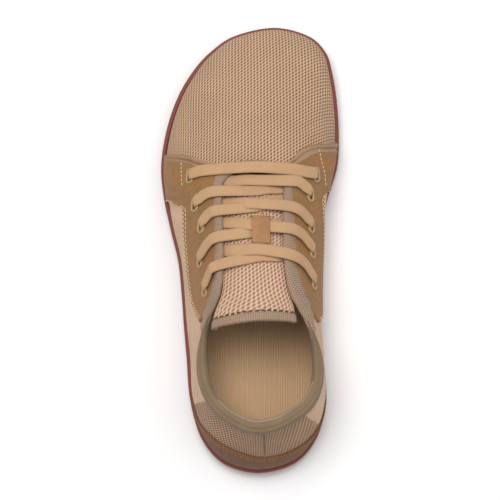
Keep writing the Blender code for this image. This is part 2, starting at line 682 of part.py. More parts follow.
def slots_tool():
    """Cutter with one slot for each eyelet."""
    opening = stadium(EYELET_LENGTH - 2 * EYELET_RIM, EYELET_WIDTH - 2 * EYELET_RIM)
    verts, faces = [], []
    for along, across in EYELETS_LATERAL + EYELETS_MEDIAL:
        frame = eyelet_frame(along, across)
        base, count = len(verts), len(opening)
        depth = 2 * (UPPER_WALL + OVERLAY_THICKNESS)
        verts += list(placed(frame, opening, -depth)) + list(placed(frame, opening, depth))
        faces.append(tuple(base + i for i in range(count)))
        faces.append(tuple(base + count + i for i in range(count)))
        for i in range(count):
            j = (i + 1) % count
            faces.append((base + i, base + j, base + count + j, base + count + i))
    return cutter(build_mesh("eyelet_slot_tool", verts, faces))


def overlay(name, seams, thickness, finish, mirrored=False):
    """Piece sewn on the upper: a skin offset from the upper, cut along its seam lines."""
    rows = np.array([tuple(seam) for seam in seams])
    if mirrored:
        rows = rows * (-1, 1, -1, 1) + (STATIONS, 0, STATIONS, 0)
    column = STATIONS / COLUMNS
    first = math.floor(rows[:, (0, 2)].min() / column) - 1
    last = math.ceil(rows[:, (0, 2)].max() / column) + 1
    low_up, high_up = rows[:, (1, 3)].min(), rows[:, (1, 3)].max()
    below = max(1, np.searchsorted(UP_LEVELS, low_up) - 1)
    above = min(len(UP_LEVELS), np.searchsorted(UP_LEVELS, high_up) + 1)
    grid_station, grid_up = np.meshgrid(np.arange(first, last + 1) * column, UP_LEVELS[below:above],
                                        indexing="ij")
    skin = shell(name, upper(grid_station, grid_up, CLEARANCE + thickness),
                 upper(grid_station, grid_up, CLEARANCE), finish)
    share = np.linspace(0, 1, 4)
    station = rows[:, 0:1] * (1 - share) + rows[:, 2:3] * share
    up = rows[:, 1:2] * (1 - share) + rows[:, 3:4] * share
    tool = shell(name + "_seam_tool", upper(station, up, 3 * thickness + CLEARANCE),
                 upper(station, up, -thickness), None)
    cut(skin, cutter(tool), "INTERSECT")
    return skin


def add_collar(finish):
    """Padded roll over the top edge round the heel, with its lining inside."""
    column = STATIONS / COLUMNS
    station = np.arange(-COLLAR_END, COLLAR_END + column / 2, column)
    top = np.ones_like(station)
    edge = upper(station, top)
    out = wall_normals(station, top)
    rise = unit(upper(station, 1.02 * top) - edge)
    slim = 1 - 0.55 * np.clip((np.abs(station) - 5.5) / 2.0, 0, 1)
    rings = [edge + out * (a * COLLAR_CREST) * slim[:, None] + rise * (b * COLLAR_CREST)
             for a, b in COLLAR_ROLL[:4]]
    inner = UPPER_WALL + CLEARANCE
    for a, b in COLLAR_ROLL[4:]:
        reach = -inner + (a * COLLAR_CREST + inner) * slim
        rings.append(edge + out * reach[:, None] + rise * (b * COLLAR_CREST))
    for up in COLLAR_DEPTHS:
        pad = COLLAR_PAD * (1 if up > COLLAR_DEPTHS[-1] else 0.4) * slim
        rings.append(upper(station, up, -(inner + pad)))
    for up in reversed(COLLAR_DEPTHS):
        rings.append(upper(station, up, -inner))
    rings.append(edge - out * inner)
    rings.append(edge - out * inner + rise * CLEARANCE)
    tube("collar", np.array(rings).transpose(1, 0, 2), finish)


def tube(name, sections, finish):
    """Closed body through sections of equal size, with flat ends."""
    columns, count = sections.shape[:2]
    faces = [tuple(range(count)), tuple((columns - 1) * count + k for k in range(count))]
    for i in range(columns - 1):
        for k in range(count):
            j = (k + 1) % count
            faces.append((i * count + k, i * count + j, (i + 1) * count + j, (i + 1) * count + k))
    return build_mesh(name, sections.reshape(-1, 3), faces, finish)


def tongue_rows():
    """Six points across the tongue for each half section: two free rows, then rows under the throat."""
    size = np.array([HALF_LENGTH, HALF_WIDTH, INSTEP_HEIGHT])
    rows = [(np.array(row) * size)[:, (1, 0, 2)] for row in TONGUE_TOP]
    for section in np.arange(TONGUE_FIRST, TONGUE_LAST + 0.1, 0.5):
        tuck = np.interp(section, *zip(*TONGUE_TUCKS))
        crown = np.interp(section, *zip(*TONGUE_CROWNS)) * TONGUE_CROWN
        under = -(UPPER_WALL + np.interp(section, *zip(*TONGUE_GAPS)))
        sides = []
        for station in (section, STATIONS - section):
            sides.append((upper(station, 1 - tuck, under), upper(station, 1.0, under)))
        (a, b), (e, d) = sides
        lift = np.array([0, 0, crown])
        rows.append(np.array([a, b, b * 2 / 3 + d / 3 + lift, b / 3 + d * 2 / 3 + lift, d, e]))
    return np.array(rows)


TONGUE_ROWS = tongue_rows()


def tongue(row, across, lift=0.0):
    """Points at a distance, lift, over the tongue; row counts its rows, across runs from 0 to 1."""
    row, across = np.broadcast_arrays(np.asarray(row, float), np.asarray(across, float))
    shape = row.shape
    lift = np.broadcast_to(lift, shape).reshape(-1, 1)
    points = tongue_points(row.ravel(), across.ravel()) + tongue_normals(row.ravel(), across.ravel()) * lift
    return points.reshape(shape + (3,))


def tongue_points(row, across):
    """Points on the top of the tongue."""
    count, last = len(TONGUE_ROWS), TONGUE_ROWS.shape[1] - 1
    lines = open_curve(TONGUE_ROWS.reshape(count, -1), row).reshape(len(row), -1, 3)
    return np.array([open_curve(line, np.array([t * last]))[0] for line, t in zip(lines, across)])


def tongue_normals(row, across):
    """Unit vectors that point up from the tongue."""
    step = 0.02
    along = tongue_points(row + step, across) - tongue_points(row - step, across)
    over = tongue_points(row, np.minimum(across + step, 1)) - tongue_points(row, np.maximum(across - step, 0))
    return unit(np.cross(over, along))


def tongue_row(section):
    """Row of the tongue under a section."""
    return len(TONGUE_TOP) + 2 * (section - TONGUE_FIRST)


def add_tongue(finish, edging):
    """Padded tongue under the throat, and the tape that binds its free edge."""
    rows = len(TONGUE_ROWS) - 1
    pitch = np.linalg.norm(tongue(0.0, 0.5) - tongue(1.0, 0.5))
    seam = TONGUE_BINDING_WIDTH / pitch
    across = np.linspace(0, 1, 9)
    for name, span, swell, finish_used in (
        ("tongue", np.linspace(seam + 3 * CLEARANCE / pitch, rows, 14), 0.0, finish),
        ("tongue_binding", np.linspace(0, seam, 4), TONGUE_BINDING_SWELL, edging),
    ):
        grid_row, grid_across = np.meshgrid(span, across, indexing="ij")
        top = tongue(grid_row, grid_across, swell)
        under = tongue(grid_row, grid_across, -(TONGUE_THICKNESS + swell))
        shell(name, top, under, finish_used)


def ribbon(name, controls, normals, width, thickness, steps, finish):
    """Flat strap along a smooth line through its control points."""
    where = np.linspace(0, len(controls) - 1, steps)
    line = open_curve(controls, where)
    up = unit(open_curve(normals, where))
    run = unit(np.gradient(line, axis=0))
    side = unit(np.cross(run, up))
    up = np.cross(side, run)
    corners = ((-1, -1), (1, -1), (1, 1), (-1, 1))
    sections = np.stack([line + side * (a * width / 2) + up * (b * thickness / 2) for a, b in corners], axis=1)
    return tube(name, sections, finish)


def lace_levels():
    """Lifts of a lace's middle plane: on the tongue, on a strap, on a throat edge and on an eyelet."""
    half = LACE_THICKNESS / 2
    on_tongue = LACE_GAP + half
    on_strap = on_tongue + 0.5 * LACE_THICKNESS
    on_edge = CLEARANCE + OVERLAY_THICKNESS + LACE_GAP + half
    on_eyelet = on_edge + EYELET_HEIGHT + LACE_GAP
    return on_tongue, on_strap, on_edge, on_eyelet


def strap(name, start, middle, edge, eyelet, over, steps, finish):
    """One strap of a crossing, from inside the throat over the far edge to an eyelet."""
    on_tongue, on_strap, on_edge, on_eyelet = lace_levels()
    medial = eyelet[1] > 0
    near, centre = (0.27, 0.57) if medial else (0.74, 0.52)
    end_station, end_up = find(*eyelet)
    edge_station = STATIONS - edge if medial else edge
    half_way = ((edge_station + end_station) / 2, (0.96 + end_up) / 2)
    places = [(tongue_row(start), near), (tongue_row(0.6 * start + 0.4 * middle), (near + centre) / 2),
              (tongue_row(middle), centre)]
    lifts = (on_tongue, on_tongue + (0.25 * LACE_THICKNESS if over else 0), on_strap if over else on_tongue)
    controls = [tongue(*place, lift) for place, lift in zip(places, lifts)]
    normals = [tongue_normals(np.array([a]), np.array([b]))[0] for a, b in places]
    for place, lift in (((edge_station, 0.985), on_edge + 2.6 * LACE_GAP), (half_way, on_edge + LACE_GAP),
                        ((end_station, end_up), on_eyelet)):
        controls.append(upper(*place, lift))
        normals.append(wall_normals(np.array([place[0]]), np.array([place[1]]))[0])
    return ribbon(name, controls, normals, LACE_WIDTH, LACE_THICKNESS, steps, finish)


def add_laces(finish, leather):
    """Straight bar at the toe end, four crossings above it and the keeper on the tongue."""
    on_tongue, on_strap, on_edge, on_eyelet = lace_levels()
    ends = []
    for eyelet, corner in ((EYELETS_LATERAL[0], BAR_CORNER), (EYELETS_MEDIAL[0], STATIONS - BAR_CORNER)):
        station, up = find(*eyelet)
        ends.append([(station, up, on_eyelet), ((station + corner) / 2, (up + 0.95) / 2, on_edge + LACE_GAP),
                     (corner, 0.96, on_edge + LACE_GAP)])
    stops = np.array(ends[0] + [(TOE_STATION, 0.98, on_edge + 0.5 * LACE_THICKNESS)] + ends[1][::-1])
    controls, normals = upper(*stops.T), wall_normals(*stops.T[:2])
    ribbon("lace_bar", controls, normals, LACE_WIDTH, LACE_THICKNESS, 13, finish)
    for number, row in enumerate(CROSSINGS, 1):
        under = strap(f"lace_under_tool_{number}", row.lateral_start, row.lateral_middle, row.lateral_edge,
                      EYELETS_LATERAL[number], False, 12, finish)
        over = strap(f"lace_cross_{number}", row.medial_start, row.medial_middle, row.medial_edge,
                     EYELETS_MEDIAL[number], True, 12, finish)
        cut(over, cutter(under), "UNION", "MANIFOLD")
    flat = LACE_GAP + KEEPER_THICKNESS / 2
    stack = on_strap + 0.5 * LACE_THICKNESS + flat
    row = np.array([tongue_row(section) for section in KEEPER_SECTIONS])
    across = np.full(len(row), KEEPER_ACROSS)
    controls, normals = tongue(row, across, np.array([flat, flat] + [stack] * (len(row) - 2))), tongue_normals(row, across)
    ribbon("lace_keeper", controls, normals, KEEPER_WIDTH, KEEPER_THICKNESS, 9, leather)


def add_eyelets(finish):
    """Oblong ring round each lace slot."""
    outer = stadium(EYELET_LENGTH, EYELET_WIDTH)
    inner = stadium(EYELET_LENGTH - 2 * EYELET_RIM, EYELET_WIDTH - 2 * EYELET_RIM)
    seat = 2 * CLEARANCE + OVERLAY_THICKNESS
    for side, places in (("lateral", EYELETS_LATERAL), ("medial", EYELETS_MEDIAL)):
        for number, (along, across) in enumerate(places, 1):
            frame = eyelet_frame(along, across)
            rings = [placed(frame, outer, seat), placed(frame, outer, seat + EYELET_HEIGHT),
                     placed(frame, inner, seat + EYELET_HEIGHT), placed(frame, inner, seat)]
            count = len(outer)
            faces = []
            for level in range(4):
                a, b = level * count, (level + 1) % 4 * count
                faces += [(a + i, a + (i + 1) % count, b + (i + 1) % count, b + i) for i in range(count)]
            build_mesh(f"eyelet_{side}_{number}", np.concatenate(rings), faces, finish)


def main():
    """Build every piece."""
    for obj in list(bpy.data.objects):
        bpy.data.objects.remove(obj)
    rubber = material("outsole rubber", (0.34, 0.075, 0.04), 0.55)
    knit = material("upper knit", (0.58, 0.38, 0.24), 0.9)
    suede = material("suede overlay", (0.35, 0.20, 0.10), 0.85)
    taupe = material("taupe binding", (0.27, 0.20, 0.13), 0.9)
    cloth = material("insole cloth", (0.50, 0.34, 0.19), 0.9)
    webbing = material("lace webbing", (0.63, 0.42, 0.18), 0.8)
    leather = material("keeper leather", (0.43, 0.21, 0.08), 0.6)
    moulded = material("moulded eyelet", (0.42, 0.34, 0.20), 0.6)
    add_outsole(rubber)
    add_insole(cloth)
    slot_tool = add_upper(knit)
    add_collar(taupe)
    overlay("throat_binding", THROAT_BINDING, BINDING_THICKNESS, taupe)
    for name, seams, mirrored in (("eyestay_lateral", EYESTAY_LATERAL, False),
                                  ("eyestay_medial", EYESTAY_MEDIAL, True)):
        cut(overlay(name, seams, OVERLAY_THICKNESS, suede, mirrored), slot_tool)
    overlay("edge_strip_lateral", EDGE_STRIP_LATERAL, EDGE_STRIP_THICKNESS, taupe)
    overlay("edge_strip_medial", EDGE_STRIP_MEDIAL, EDGE_STRIP_THICKNESS, taupe, True)
    overlay("heel_counter", HEEL_COUNTER, COUNTER_THICKNESS, suede)
    add_tongue(knit, taupe)
    add_eyelets(moulded)
    add_laces(webbing, leather)


main()
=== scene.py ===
"""Barefoot shoe for the left foot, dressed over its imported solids.

The toe points along +Y, the inner (medial) side of the foot is +X, and the sole stands on z = 0.
"""
import math
from collections import namedtuple

import bmesh
import bpy
import numpy as np
from mathutils import Matrix, Vector


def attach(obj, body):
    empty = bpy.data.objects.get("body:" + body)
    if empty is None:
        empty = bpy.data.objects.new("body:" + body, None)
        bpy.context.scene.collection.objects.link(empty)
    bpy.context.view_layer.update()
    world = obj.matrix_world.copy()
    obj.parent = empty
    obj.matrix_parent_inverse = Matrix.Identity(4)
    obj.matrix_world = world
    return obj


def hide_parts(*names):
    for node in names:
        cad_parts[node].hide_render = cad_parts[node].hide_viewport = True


bl_info = {
    "name": "Barefoot shoe",
    "version": (1, 0, 0),
    "blender": (4, 5, 0),
    "location": "View3D > Sidebar > Barefoot shoe",
    "description": "Dresses the solids of a barefoot shoe with cloth, suede, laces and tread",
    "category": "Object",
}

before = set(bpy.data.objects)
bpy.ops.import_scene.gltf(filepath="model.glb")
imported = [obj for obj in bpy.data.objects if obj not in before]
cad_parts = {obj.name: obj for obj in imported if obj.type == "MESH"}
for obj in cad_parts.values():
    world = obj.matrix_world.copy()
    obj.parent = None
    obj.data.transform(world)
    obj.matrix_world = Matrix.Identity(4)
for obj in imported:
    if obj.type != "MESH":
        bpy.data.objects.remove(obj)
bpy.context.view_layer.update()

# Shares of these three sizes place every section, as in the part's own source
HALF_LENGTH = 0.275 / 2
HALF_WIDTH = 0.110 / 2
INSTEP_HEIGHT = 0.0755
HEEL_HEIGHT = 0.070
SOLE_WALL = 0.0030
SOLE_BASE = 0.0030
TREAD_DEPTH = 0.0020
TOE_SPRING = 0.0080
EDGE_ROUND = 0.0040
SPRING_START = 0.44 * HALF_LENGTH
UPPER_WALL = 0.0020
CLEARANCE = 0.0003

# The sole's outline, heel to toe: shares of the half length, the half width (twice) and the heel height
Sole = namedtuple("Sole", "along lateral medial rim")
SOLE_SECTIONS = (
    Sole(-1.000, 0.089, 0.089, 0.200),   # heel end
    Sole(-0.980, -0.180, 0.371, 0.200),  # heel back
    Sole(-0.935, -0.373, 0.573, 0.194),  # heel corner
    Sole(-0.858, -0.524, 0.722, 0.189),  # heel side
    Sole(-0.764, -0.615, 0.811, 0.180),  # heel front
    Sole(-0.640, -0.678, 0.849, 0.171),  # ankle back
    Sole(-0.495, -0.705, 0.820, 0.164),  # ankle
    Sole(-0.349, -0.738, 0.775, 0.157),  # ankle front
    Sole(-0.204, -0.765, 0.736, 0.157),  # throat top
    Sole(-0.058, -0.804, 0.731, 0.157),  # waist
    Sole(0.087, -0.891, 0.787, 0.157),   # waist front
    Sole(0.233, -0.969, 0.878, 0.157),   # ball back
    Sole(0.378, -1.000, 0.985, 0.163),   # ball
    Sole(0.538, -0.940, 1.000, 0.174),   # toe root
    Sole(0.684, -0.818, 0.975, 0.189),   # toes back
    Sole(0.800, -0.651, 0.927, 0.203),   # toes
    Sole(0.887, -0.458, 0.858, 0.217),   # toe corner
    Sole(0.962, -0.180, 0.664, 0.234),   # toe front
    Sole(1.000, 0.273, 0.273, 0.243),    # toe tip
)

# The wall of the upper over each section: its top edge (along, across, height), how far it rises straight,
# its bulge over the sole's edge, and the reach, belly and drop of the curve in to the top edge
Wall = namedtuple("Wall", "along across height rise bulge reach belly drop")
ANKLE_SECTION = 6
LATERAL_WALLS = (
    Wall(-0.829, 0.091, 1.000, 0.257, 0.018, 0.20, 0.000, 0.286),
    Wall(-0.818, -0.064, 0.997, 0.257, 0.018, 0.20, 0.000, 0.286),
    Wall(-0.785, -0.218, 0.979, 0.257, 0.027, 0.22, 0.000, 0.271),
    Wall(-0.735, -0.364, 0.950, 0.257, 0.036, 0.25, 0.005, 0.257),
    Wall(-0.669, -0.473, 0.907, 0.243, 0.036, 0.28, 0.009, 0.257),
    Wall(-0.582, -0.536, 0.864, 0.229, 0.036, 0.30, 0.009, 0.243),
    Wall(-0.473, -0.535, 0.857, 0.229, 0.036, 0.32, 0.009, 0.243),
    Wall(-0.364, -0.470, 0.861, 0.225, 0.036, 0.35, 0.009, 0.225),
    Wall(-0.247, -0.345, 1.000, 0.252, 0.036, 0.42, 0.009, 0.225),
    Wall(-0.109, -0.308, 0.967, 0.265, 0.036, 0.48, 0.011, 0.199),
    Wall(0.022, -0.308, 0.894, 0.252, 0.036, 0.50, 0.011, 0.159),
    Wall(0.145, -0.315, 0.808, 0.225, 0.027, 0.50, 0.009, 0.119),
    Wall(0.240, -0.309, 0.735, 0.199, 0.022, 0.50, 0.000, 0.079),
    Wall(0.285, -0.236, 0.722, 0.185, 0.018, 0.48, 0.000, 0.093),
    Wall(0.300, -0.164, 0.719, 0.185, 0.018, 0.46, 0.000, 0.106),
    Wall(0.305, -0.100, 0.718, 0.185, 0.015, 0.45, 0.000, 0.119),
    Wall(0.308, -0.045, 0.718, 0.199, 0.015, 0.45, 0.000, 0.126),
    Wall(0.309, 0.000, 0.718, 0.212, 0.015, 0.45, 0.000, 0.132),
    Wall(0.310, 0.036, 0.718, 0.225, 0.015, 0.45, 0.000, 0.132),
)
MEDIAL_WALLS = (
    Wall(-0.829, 0.091, 1.000, 0.257, 0.018, 0.20, 0.000, 0.286),
    Wall(-0.818, 0.255, 0.997, 0.257, 0.018, 0.20, 0.000, 0.286),
    Wall(-0.785, 0.427, 0.979, 0.257, 0.036, 0.25, 0.009, 0.271),
    Wall(-0.735, 0.600, 0.950, 0.257, 0.055, 0.35, 0.018, 0.271),
    Wall(-0.669, 0.709, 0.914, 0.243, 0.082, 0.50, 0.033, 0.271),
    Wall(-0.582, 0.755, 0.879, 0.229, 0.100, 0.60, 0.047, 0.271),
    Wall(-0.473, 0.727, 0.886, 0.214, 0.109, 0.70, 0.055, 0.286),
    Wall(-0.364, 0.618, 0.907, 0.185, 0.136, 0.80, 0.082, 0.291),
    Wall(-0.247, 0.455, 1.000, 0.172, 0.190, 0.87, 0.142, 0.344),
    Wall(-0.109, 0.392, 0.967, 0.159, 0.222, 0.88, 0.170, 0.358),
    Wall(0.022, 0.380, 0.894, 0.172, 0.195, 0.83, 0.120, 0.291),
    Wall(0.145, 0.375, 0.808, 0.212, 0.122, 0.71, 0.052, 0.185),
    Wall(0.240, 0.373, 0.735, 0.238, 0.036, 0.55, 0.000, 0.093),
    Wall(0.283, 0.309, 0.722, 0.238, 0.022, 0.50, 0.000, 0.079),
    Wall(0.299, 0.236, 0.719, 0.238, 0.018, 0.48, 0.000, 0.093),
    Wall(0.304, 0.173, 0.718, 0.238, 0.018, 0.46, 0.000, 0.106),
    Wall(0.308, 0.118, 0.718, 0.238, 0.015, 0.45, 0.000, 0.119),
    Wall(0.309, 0.073, 0.718, 0.238, 0.015, 0.45, 0.000, 0.132),
    Wall(0.310, 0.036, 0.718, 0.225, 0.015, 0.45, 0.000, 0.132),
)
# How far the cloth swells out over the sole's rim, and the stations where it does
OVERHANG = 0.0015
OVERHANG_SHARES = ((0, 0.0), (3, 0.0), (5, 0.7), (10, 0.7), (12, 0.1), (13, 0.15), (14, 0.25), (15, 0.45),
                   (16, 0.75), (17, 0.95), (19, 0.95), (21, 0.7), (23, 0.6), (25, 0.0), (36, 0.0))
TOE_STATION = len(SOLE_SECTIONS) - 1
STATIONS = 2 * TOE_STATION

UPPER_COLUMNS = 433
UPPER_ROWS = 58

# Seams of the overlays. A station counts sections from the heel end, 0 to 18 along the lateral side and 18
# to 36 back along the medial side. Up is 0 at the sole's rim and 1 at the top edge.
Seam = namedtuple("Seam", "inner_station inner_up outer_station outer_up")
EYESTAY_LATERAL = (
    Seam(7.25, 0.850, 6.98, 0.80),
    Seam(7.60, 0.855, 7.20, 0.64),
    Seam(8.00, 0.880, 7.60, 0.45),
    Seam(8.50, 0.915, 8.20, 0.36),
    Seam(9.20, 0.925, 8.90, 0.35),
    Seam(9.80, 0.925, 9.60, 0.40),
    Seam(10.25, 0.925, 10.25, 0.46),
    Seam(10.55, 0.925, 10.62, 0.46),
    Seam(10.75, 0.925, 10.80, 0.24),
    Seam(10.95, 0.925, 10.86, 0.03),
    Seam(11.25, 0.925, 11.25, 0.03),
    Seam(11.70, 0.925, 11.70, 0.03),
    Seam(12.05, 0.925, 12.10, 0.03),
    Seam(12.30, 0.925, 12.22, 0.30),
    Seam(12.60, 0.925, 12.33, 0.55),
    Seam(12.90, 0.925, 12.48, 0.75),
    Seam(13.10, 0.925, 12.90, 0.86),
)
EYESTAY_MEDIAL = (
    Seam(7.25, 0.850, 6.95, 0.74),
    Seam(7.60, 0.855, 7.18, 0.45),
    Seam(8.00, 0.880, 7.65, 0.36),
    Seam(8.50, 0.915, 8.30, 0.35),
    Seam(9.20, 0.930, 9.10, 0.36),
    Seam(9.80, 0.935, 9.80, 0.38),
    Seam(10.30, 0.935, 10.40, 0.42),
    Seam(10.70, 0.935, 10.98, 0.43),
    Seam(10.95, 0.935, 11.16, 0.24),
    Seam(11.15, 0.935, 11.22, 0.03),
    Seam(11.50, 0.935, 11.60, 0.03),
    Seam(11.85, 0.930, 12.00, 0.03),
    Seam(12.15, 0.925, 12.36, 0.03),
    Seam(12.45, 0.925, 12.50, 0.33),
    Seam(12.75, 0.925, 12.68, 0.57),
    Seam(13.00, 0.925, 12.80, 0.75),
    Seam(13.20, 0.925, 13.00, 0.86),
)
EDGE_STRIP_LATERAL = (
    Seam(11.99, 0.03, 12.25, 0.03),
    Seam(12.08, 0.32, 12.33, 0.34),
    Seam(12.14, 0.49, 12.45, 0.48),
    Seam(12.20, 0.60, 12.53, 0.57),
    Seam(12.24, 0.71, 12.60, 0.67),
    Seam(12.40, 0.82, 12.74, 0.79),
    Seam(12.75, 0.91, 13.05, 0.88),
)
EDGE_STRIP_MEDIAL = (
    Seam(12.26, 0.03, 12.57, 0.03),
    Seam(12.32, 0.33, 12.70, 0.37),
    Seam(12.43, 0.48, 12.93, 0.55),
    Seam(12.53, 0.61, 13.14, 0.66),
    Seam(12.58, 0.71, 13.24, 0.75),
    Seam(12.66, 0.81, 13.20, 0.83),
    Seam(12.85, 0.91, 13.25, 0.90),
)
HEEL_COUNTER = (
    Seam(-5.6, 0.07, -5.6, 0.02),
    Seam(-5.0, 0.17, -5.0, 0.02),
    Seam(-4.0, 0.27, -4.0, 0.02),
    Seam(-3.0, 0.32, -3.0, 0.02),
    Seam(-2.0, 0.38, -2.0, 0.02),
    Seam(-1.0, 0.385, -1.0, 0.02),
    Seam(0.0, 0.42, 0.0, 0.02),
    Seam(1.0, 0.46, 1.0, 0.02),
    Seam(2.0, 0.44, 2.0, 0.02),
    Seam(3.0, 0.37, 3.0, 0.02),
    Seam(4.0, 0.17, 4.0, 0.02),
    Seam(4.7, 0.06, 4.7, 0.02),
)
COLLAR_END = 7.4
EDGING_END = 6.3
# Where the mesh of the vamp and of the heel meets the plain side panels: across and along
VAMP_SEAM = ((-0.95, 0.385), (-0.60, 0.350), (-0.30, 0.300), (0.30, 0.300), (0.60, 0.390), (0.95, 0.430))
HEEL_SEAM = ((-0.50, -0.70), (0.20, -0.70), (0.80, -0.80))
# Stitch line over each wing, as sections and ups
WING_STITCHES = {
    "lateral": ((11.35, 0.534), (11.65, 0.53), (11.90, 0.522), (12.18, 0.508)),
    "medial": ((11.30, 0.44), (11.75, 0.47), (12.15, 0.505), (12.70, 0.53)),
}
# Outer edge of the throat's edging at some sections: it widens where it runs into the collar
EDGING_WIDTHS = ((6.30, 0.985), (6.60, 0.945), (6.95, 0.885), (7.25, 0.845), (7.60, 0.845), (8.00, 0.87),
                 (8.50, 0.905), (9.20, 0.915), (12.60, 0.915), (13.50, 0.925), (15.00, 0.950), (18.00, 0.960))
# The edging's section, from its outer seam over the edge to the inside: share of its width, and lift in mm
EDGING_PROFILE = ((-0.10, 0.10), (0.0, 1.00), (0.20, 1.35), (0.48, 1.45), (0.80, 1.25), (1.05, 0.55),
                  (1.22, -0.6), (1.12, -1.8), (0.85, -2.4), (0.40, -2.5), (0.0, -2.4), (0.0, -2.0),
                  (0.40, -1.0), (0.80, 0.0))
EDGING_PUCKER = 0.00018
# The collar's section over the top edge, as shares of its crest out from the edge and up: an outer piping, a
# valley and the inner roll; then the lining down the inside, as ups with the padding, and back up behind it
COLLAR_PROFILE = ((-0.15, -1.55), (0.30, -1.45), (0.42, -0.90), (0.48, -0.30), (0.50, 0.15), (0.46, 0.48),
                  (0.38, 0.72), (0.22, 0.79), (0.08, 0.66), (0.01, 0.60), (-0.08, 0.70), (-0.26, 0.92),
                  (-0.52, 1.00), (-0.82, 0.90), (-1.10, 0.64), (-1.28, 0.26), (-1.36, -0.30))
COLLAR_PADDING = ((0.93, 0.0030), (0.87, 0.0029), (0.80, 0.0022), (0.74, 0.0012), (0.70, 0.0004))
COLLAR_BACK = (0.70, 0.80, 0.90, 0.97)
COLLAR_CREST = 0.0034
COLLAR_TIP = 0.0003
COLLAR_INNER_ROWS = slice(11, 23)
COLLAR_SMOOTHING = 40
# How an overlay ends: the width of its rounded edge and how deep its back sinks into the cloth
OVERLAY_EDGE = 0.0009
OVERLAY_SINK = 0.0007
STRIP_GROOVE = 0.0011

# Rows of the tongue over the throat: along, across and height of six points from side to side
TONGUE_TOP = (
    ((-0.402, -0.410, 0.900), (-0.394, -0.365, 0.975), (-0.374, -0.100, 1.064),
     (-0.366, 0.220, 1.071), (-0.370, 0.455, 0.990), (-0.372, 0.495, 0.925)),
    ((-0.335, -0.385, 0.920), (-0.328, -0.340, 0.985), (-0.310, -0.090, 1.045),
     (-0.302, 0.210, 1.050), (-0.307, 0.435, 0.995), (-0.310, 0.475, 0.945)),
)
TONGUE_FIRST, TONGUE_LAST = 8.0, 13.5
TONGUE_TUCKS = ((8.0, 0.03), (9.0, 0.10), (13.5, 0.15))
TONGUE_GAPS = ((8.0, 0.0019), (8.5, 0.0015), (9.5, 0.0010))
TONGUE_CROWNS = ((8.0, 1.0), (11.5, 1.0), (12.5, 0.5), (13.5, 0.0))
TONGUE_CROWN = 0.0035
TONGUE_TAPE = 0.0046
TONGUE_THICKNESS = 0.0032
TONGUE_ROUND = 0.0015
TAPE_SWELL = 0.0005

# Centres of the eyelets, from the toe end up: along and across; then the radius of their rims' section, how
# high that lies on the suede, and how deep the slot is cut
EYELETS_LATERAL = ((0.287, -0.640), (0.156, -0.582), (0.057, -0.510), (-0.090, -0.520), (-0.223, -0.462))
EYELETS_MEDIAL = ((0.296, 0.708), (0.204, 0.640), (0.064, 0.645), (-0.048, 0.655), (-0.186, 0.668))
EYELET_TUBE = 0.00078
EYELET_SEAT = 0.00035
SLOT_DEPTH = 0.006

# A lace crossing: sections where its two straps leave the throat's edges, cross over the tongue and pass
# over the far edges. The first strap runs up to the medial side, on top; the second to the lateral side.
Crossing = namedtuple("Crossing", ["medial_start", "medial_middle", "medial_edge",
                                   "lateral_start", "lateral_middle", "lateral_edge"])
CROSSINGS = (
    Crossing(12.38, 12.24, 12.06, 11.85, 11.65, 11.48),
    Crossing(11.10, 11.00, 10.85, 11.25, 10.93, 10.68),
    Crossing(10.35, 10.15, 10.05, 10.30, 10.00, 9.75),
    Crossing(9.36, 9.35, 9.15, 9.20, 9.15, 8.80),
)
# The bar's way over the throat's front edge, as shares of the half length and half width. The heights are
# those of the lace's underside in metres, over the upper, the tongue and the throat's edge.
BAR_PLAN = ((0.299, -0.520), (0.301, -0.400), (0.304, -0.200), (0.306, 0.040), (0.306, 0.280), (0.303, 0.450),
            (0.298, 0.580))
BAR_LEVEL = 0.0024
LACE_OVER_TONGUE = 0.0006
LACE_OVER_SUEDE = 0.0004
# Shares across the tongue where a strap is hidden, comes out and crosses
ACROSS_UNDER = (0.90, 0.74, 0.52)
ACROSS_OVER = (0.10, 0.27, 0.57)
# How much higher, in thicknesses, the upper strap of a crossing lies
LACE_STACK = 1.25
# The lace's end at an eyelet: how far before (negative) or past its centre, and how high over the suede
END_STOPS = ((-0.0042, 0.0009), (-0.0006, 0.0003))
END_DEPTH = (0.0004, -0.0022)
LACE_OVER_EDGE = 0.0026
# Flat coordinate at a ribbon's edge, in metres from its middle line
RIBBON_HALF = 0.004
# Shares of the lace's width where it gathers to enter an eyelet
END_WIDTHS = (0.96, 0.74, 0.62)
KEEPER_SECTIONS = (10.66, 10.56, 10.44, 10.04, 9.64, 9.55)
KEEPER_ACROSS = 0.575
KEEPER_WIDTH = 0.0108
KEEPER_THICKNESS = 0.0010
KEEPER_LIFT = 0.0005
KEEPER_SLACK = 0.0008
KEEPER_STITCHED = 0.0046
KEEPER_SEAM_SECTION = 10.585

# The tread: its field of lugs between two waved lines, and waved ribs in front and behind
Wave = namedtuple("Wave", "crest_across crest_along period slope height step_across step_along")
TOE_WAVE = Wave(0.196, 0.777, 0.464, 0.289, 0.0034, -0.049, 0.0365)
HEEL_WAVE = Wave(0.027, -0.612, 0.491, 0.503, 0.0046, 0.036, -0.0490)
Band = namedtuple("Band", "section lateral medial")
FIELD_BANDS = (
    Band(2.0, 0.150, 0.240), Band(4.0, 0.150, 0.220), Band(6.0, 0.150, 0.230), Band(8.0, 0.170, 0.200),
    Band(9.5, 0.180, 0.170), Band(11.0, 0.190, 0.110), Band(12.0, 0.120, 0.100), Band(14.0, 0.100, 0.090),
    Band(16.0, 0.100, 0.090),
)
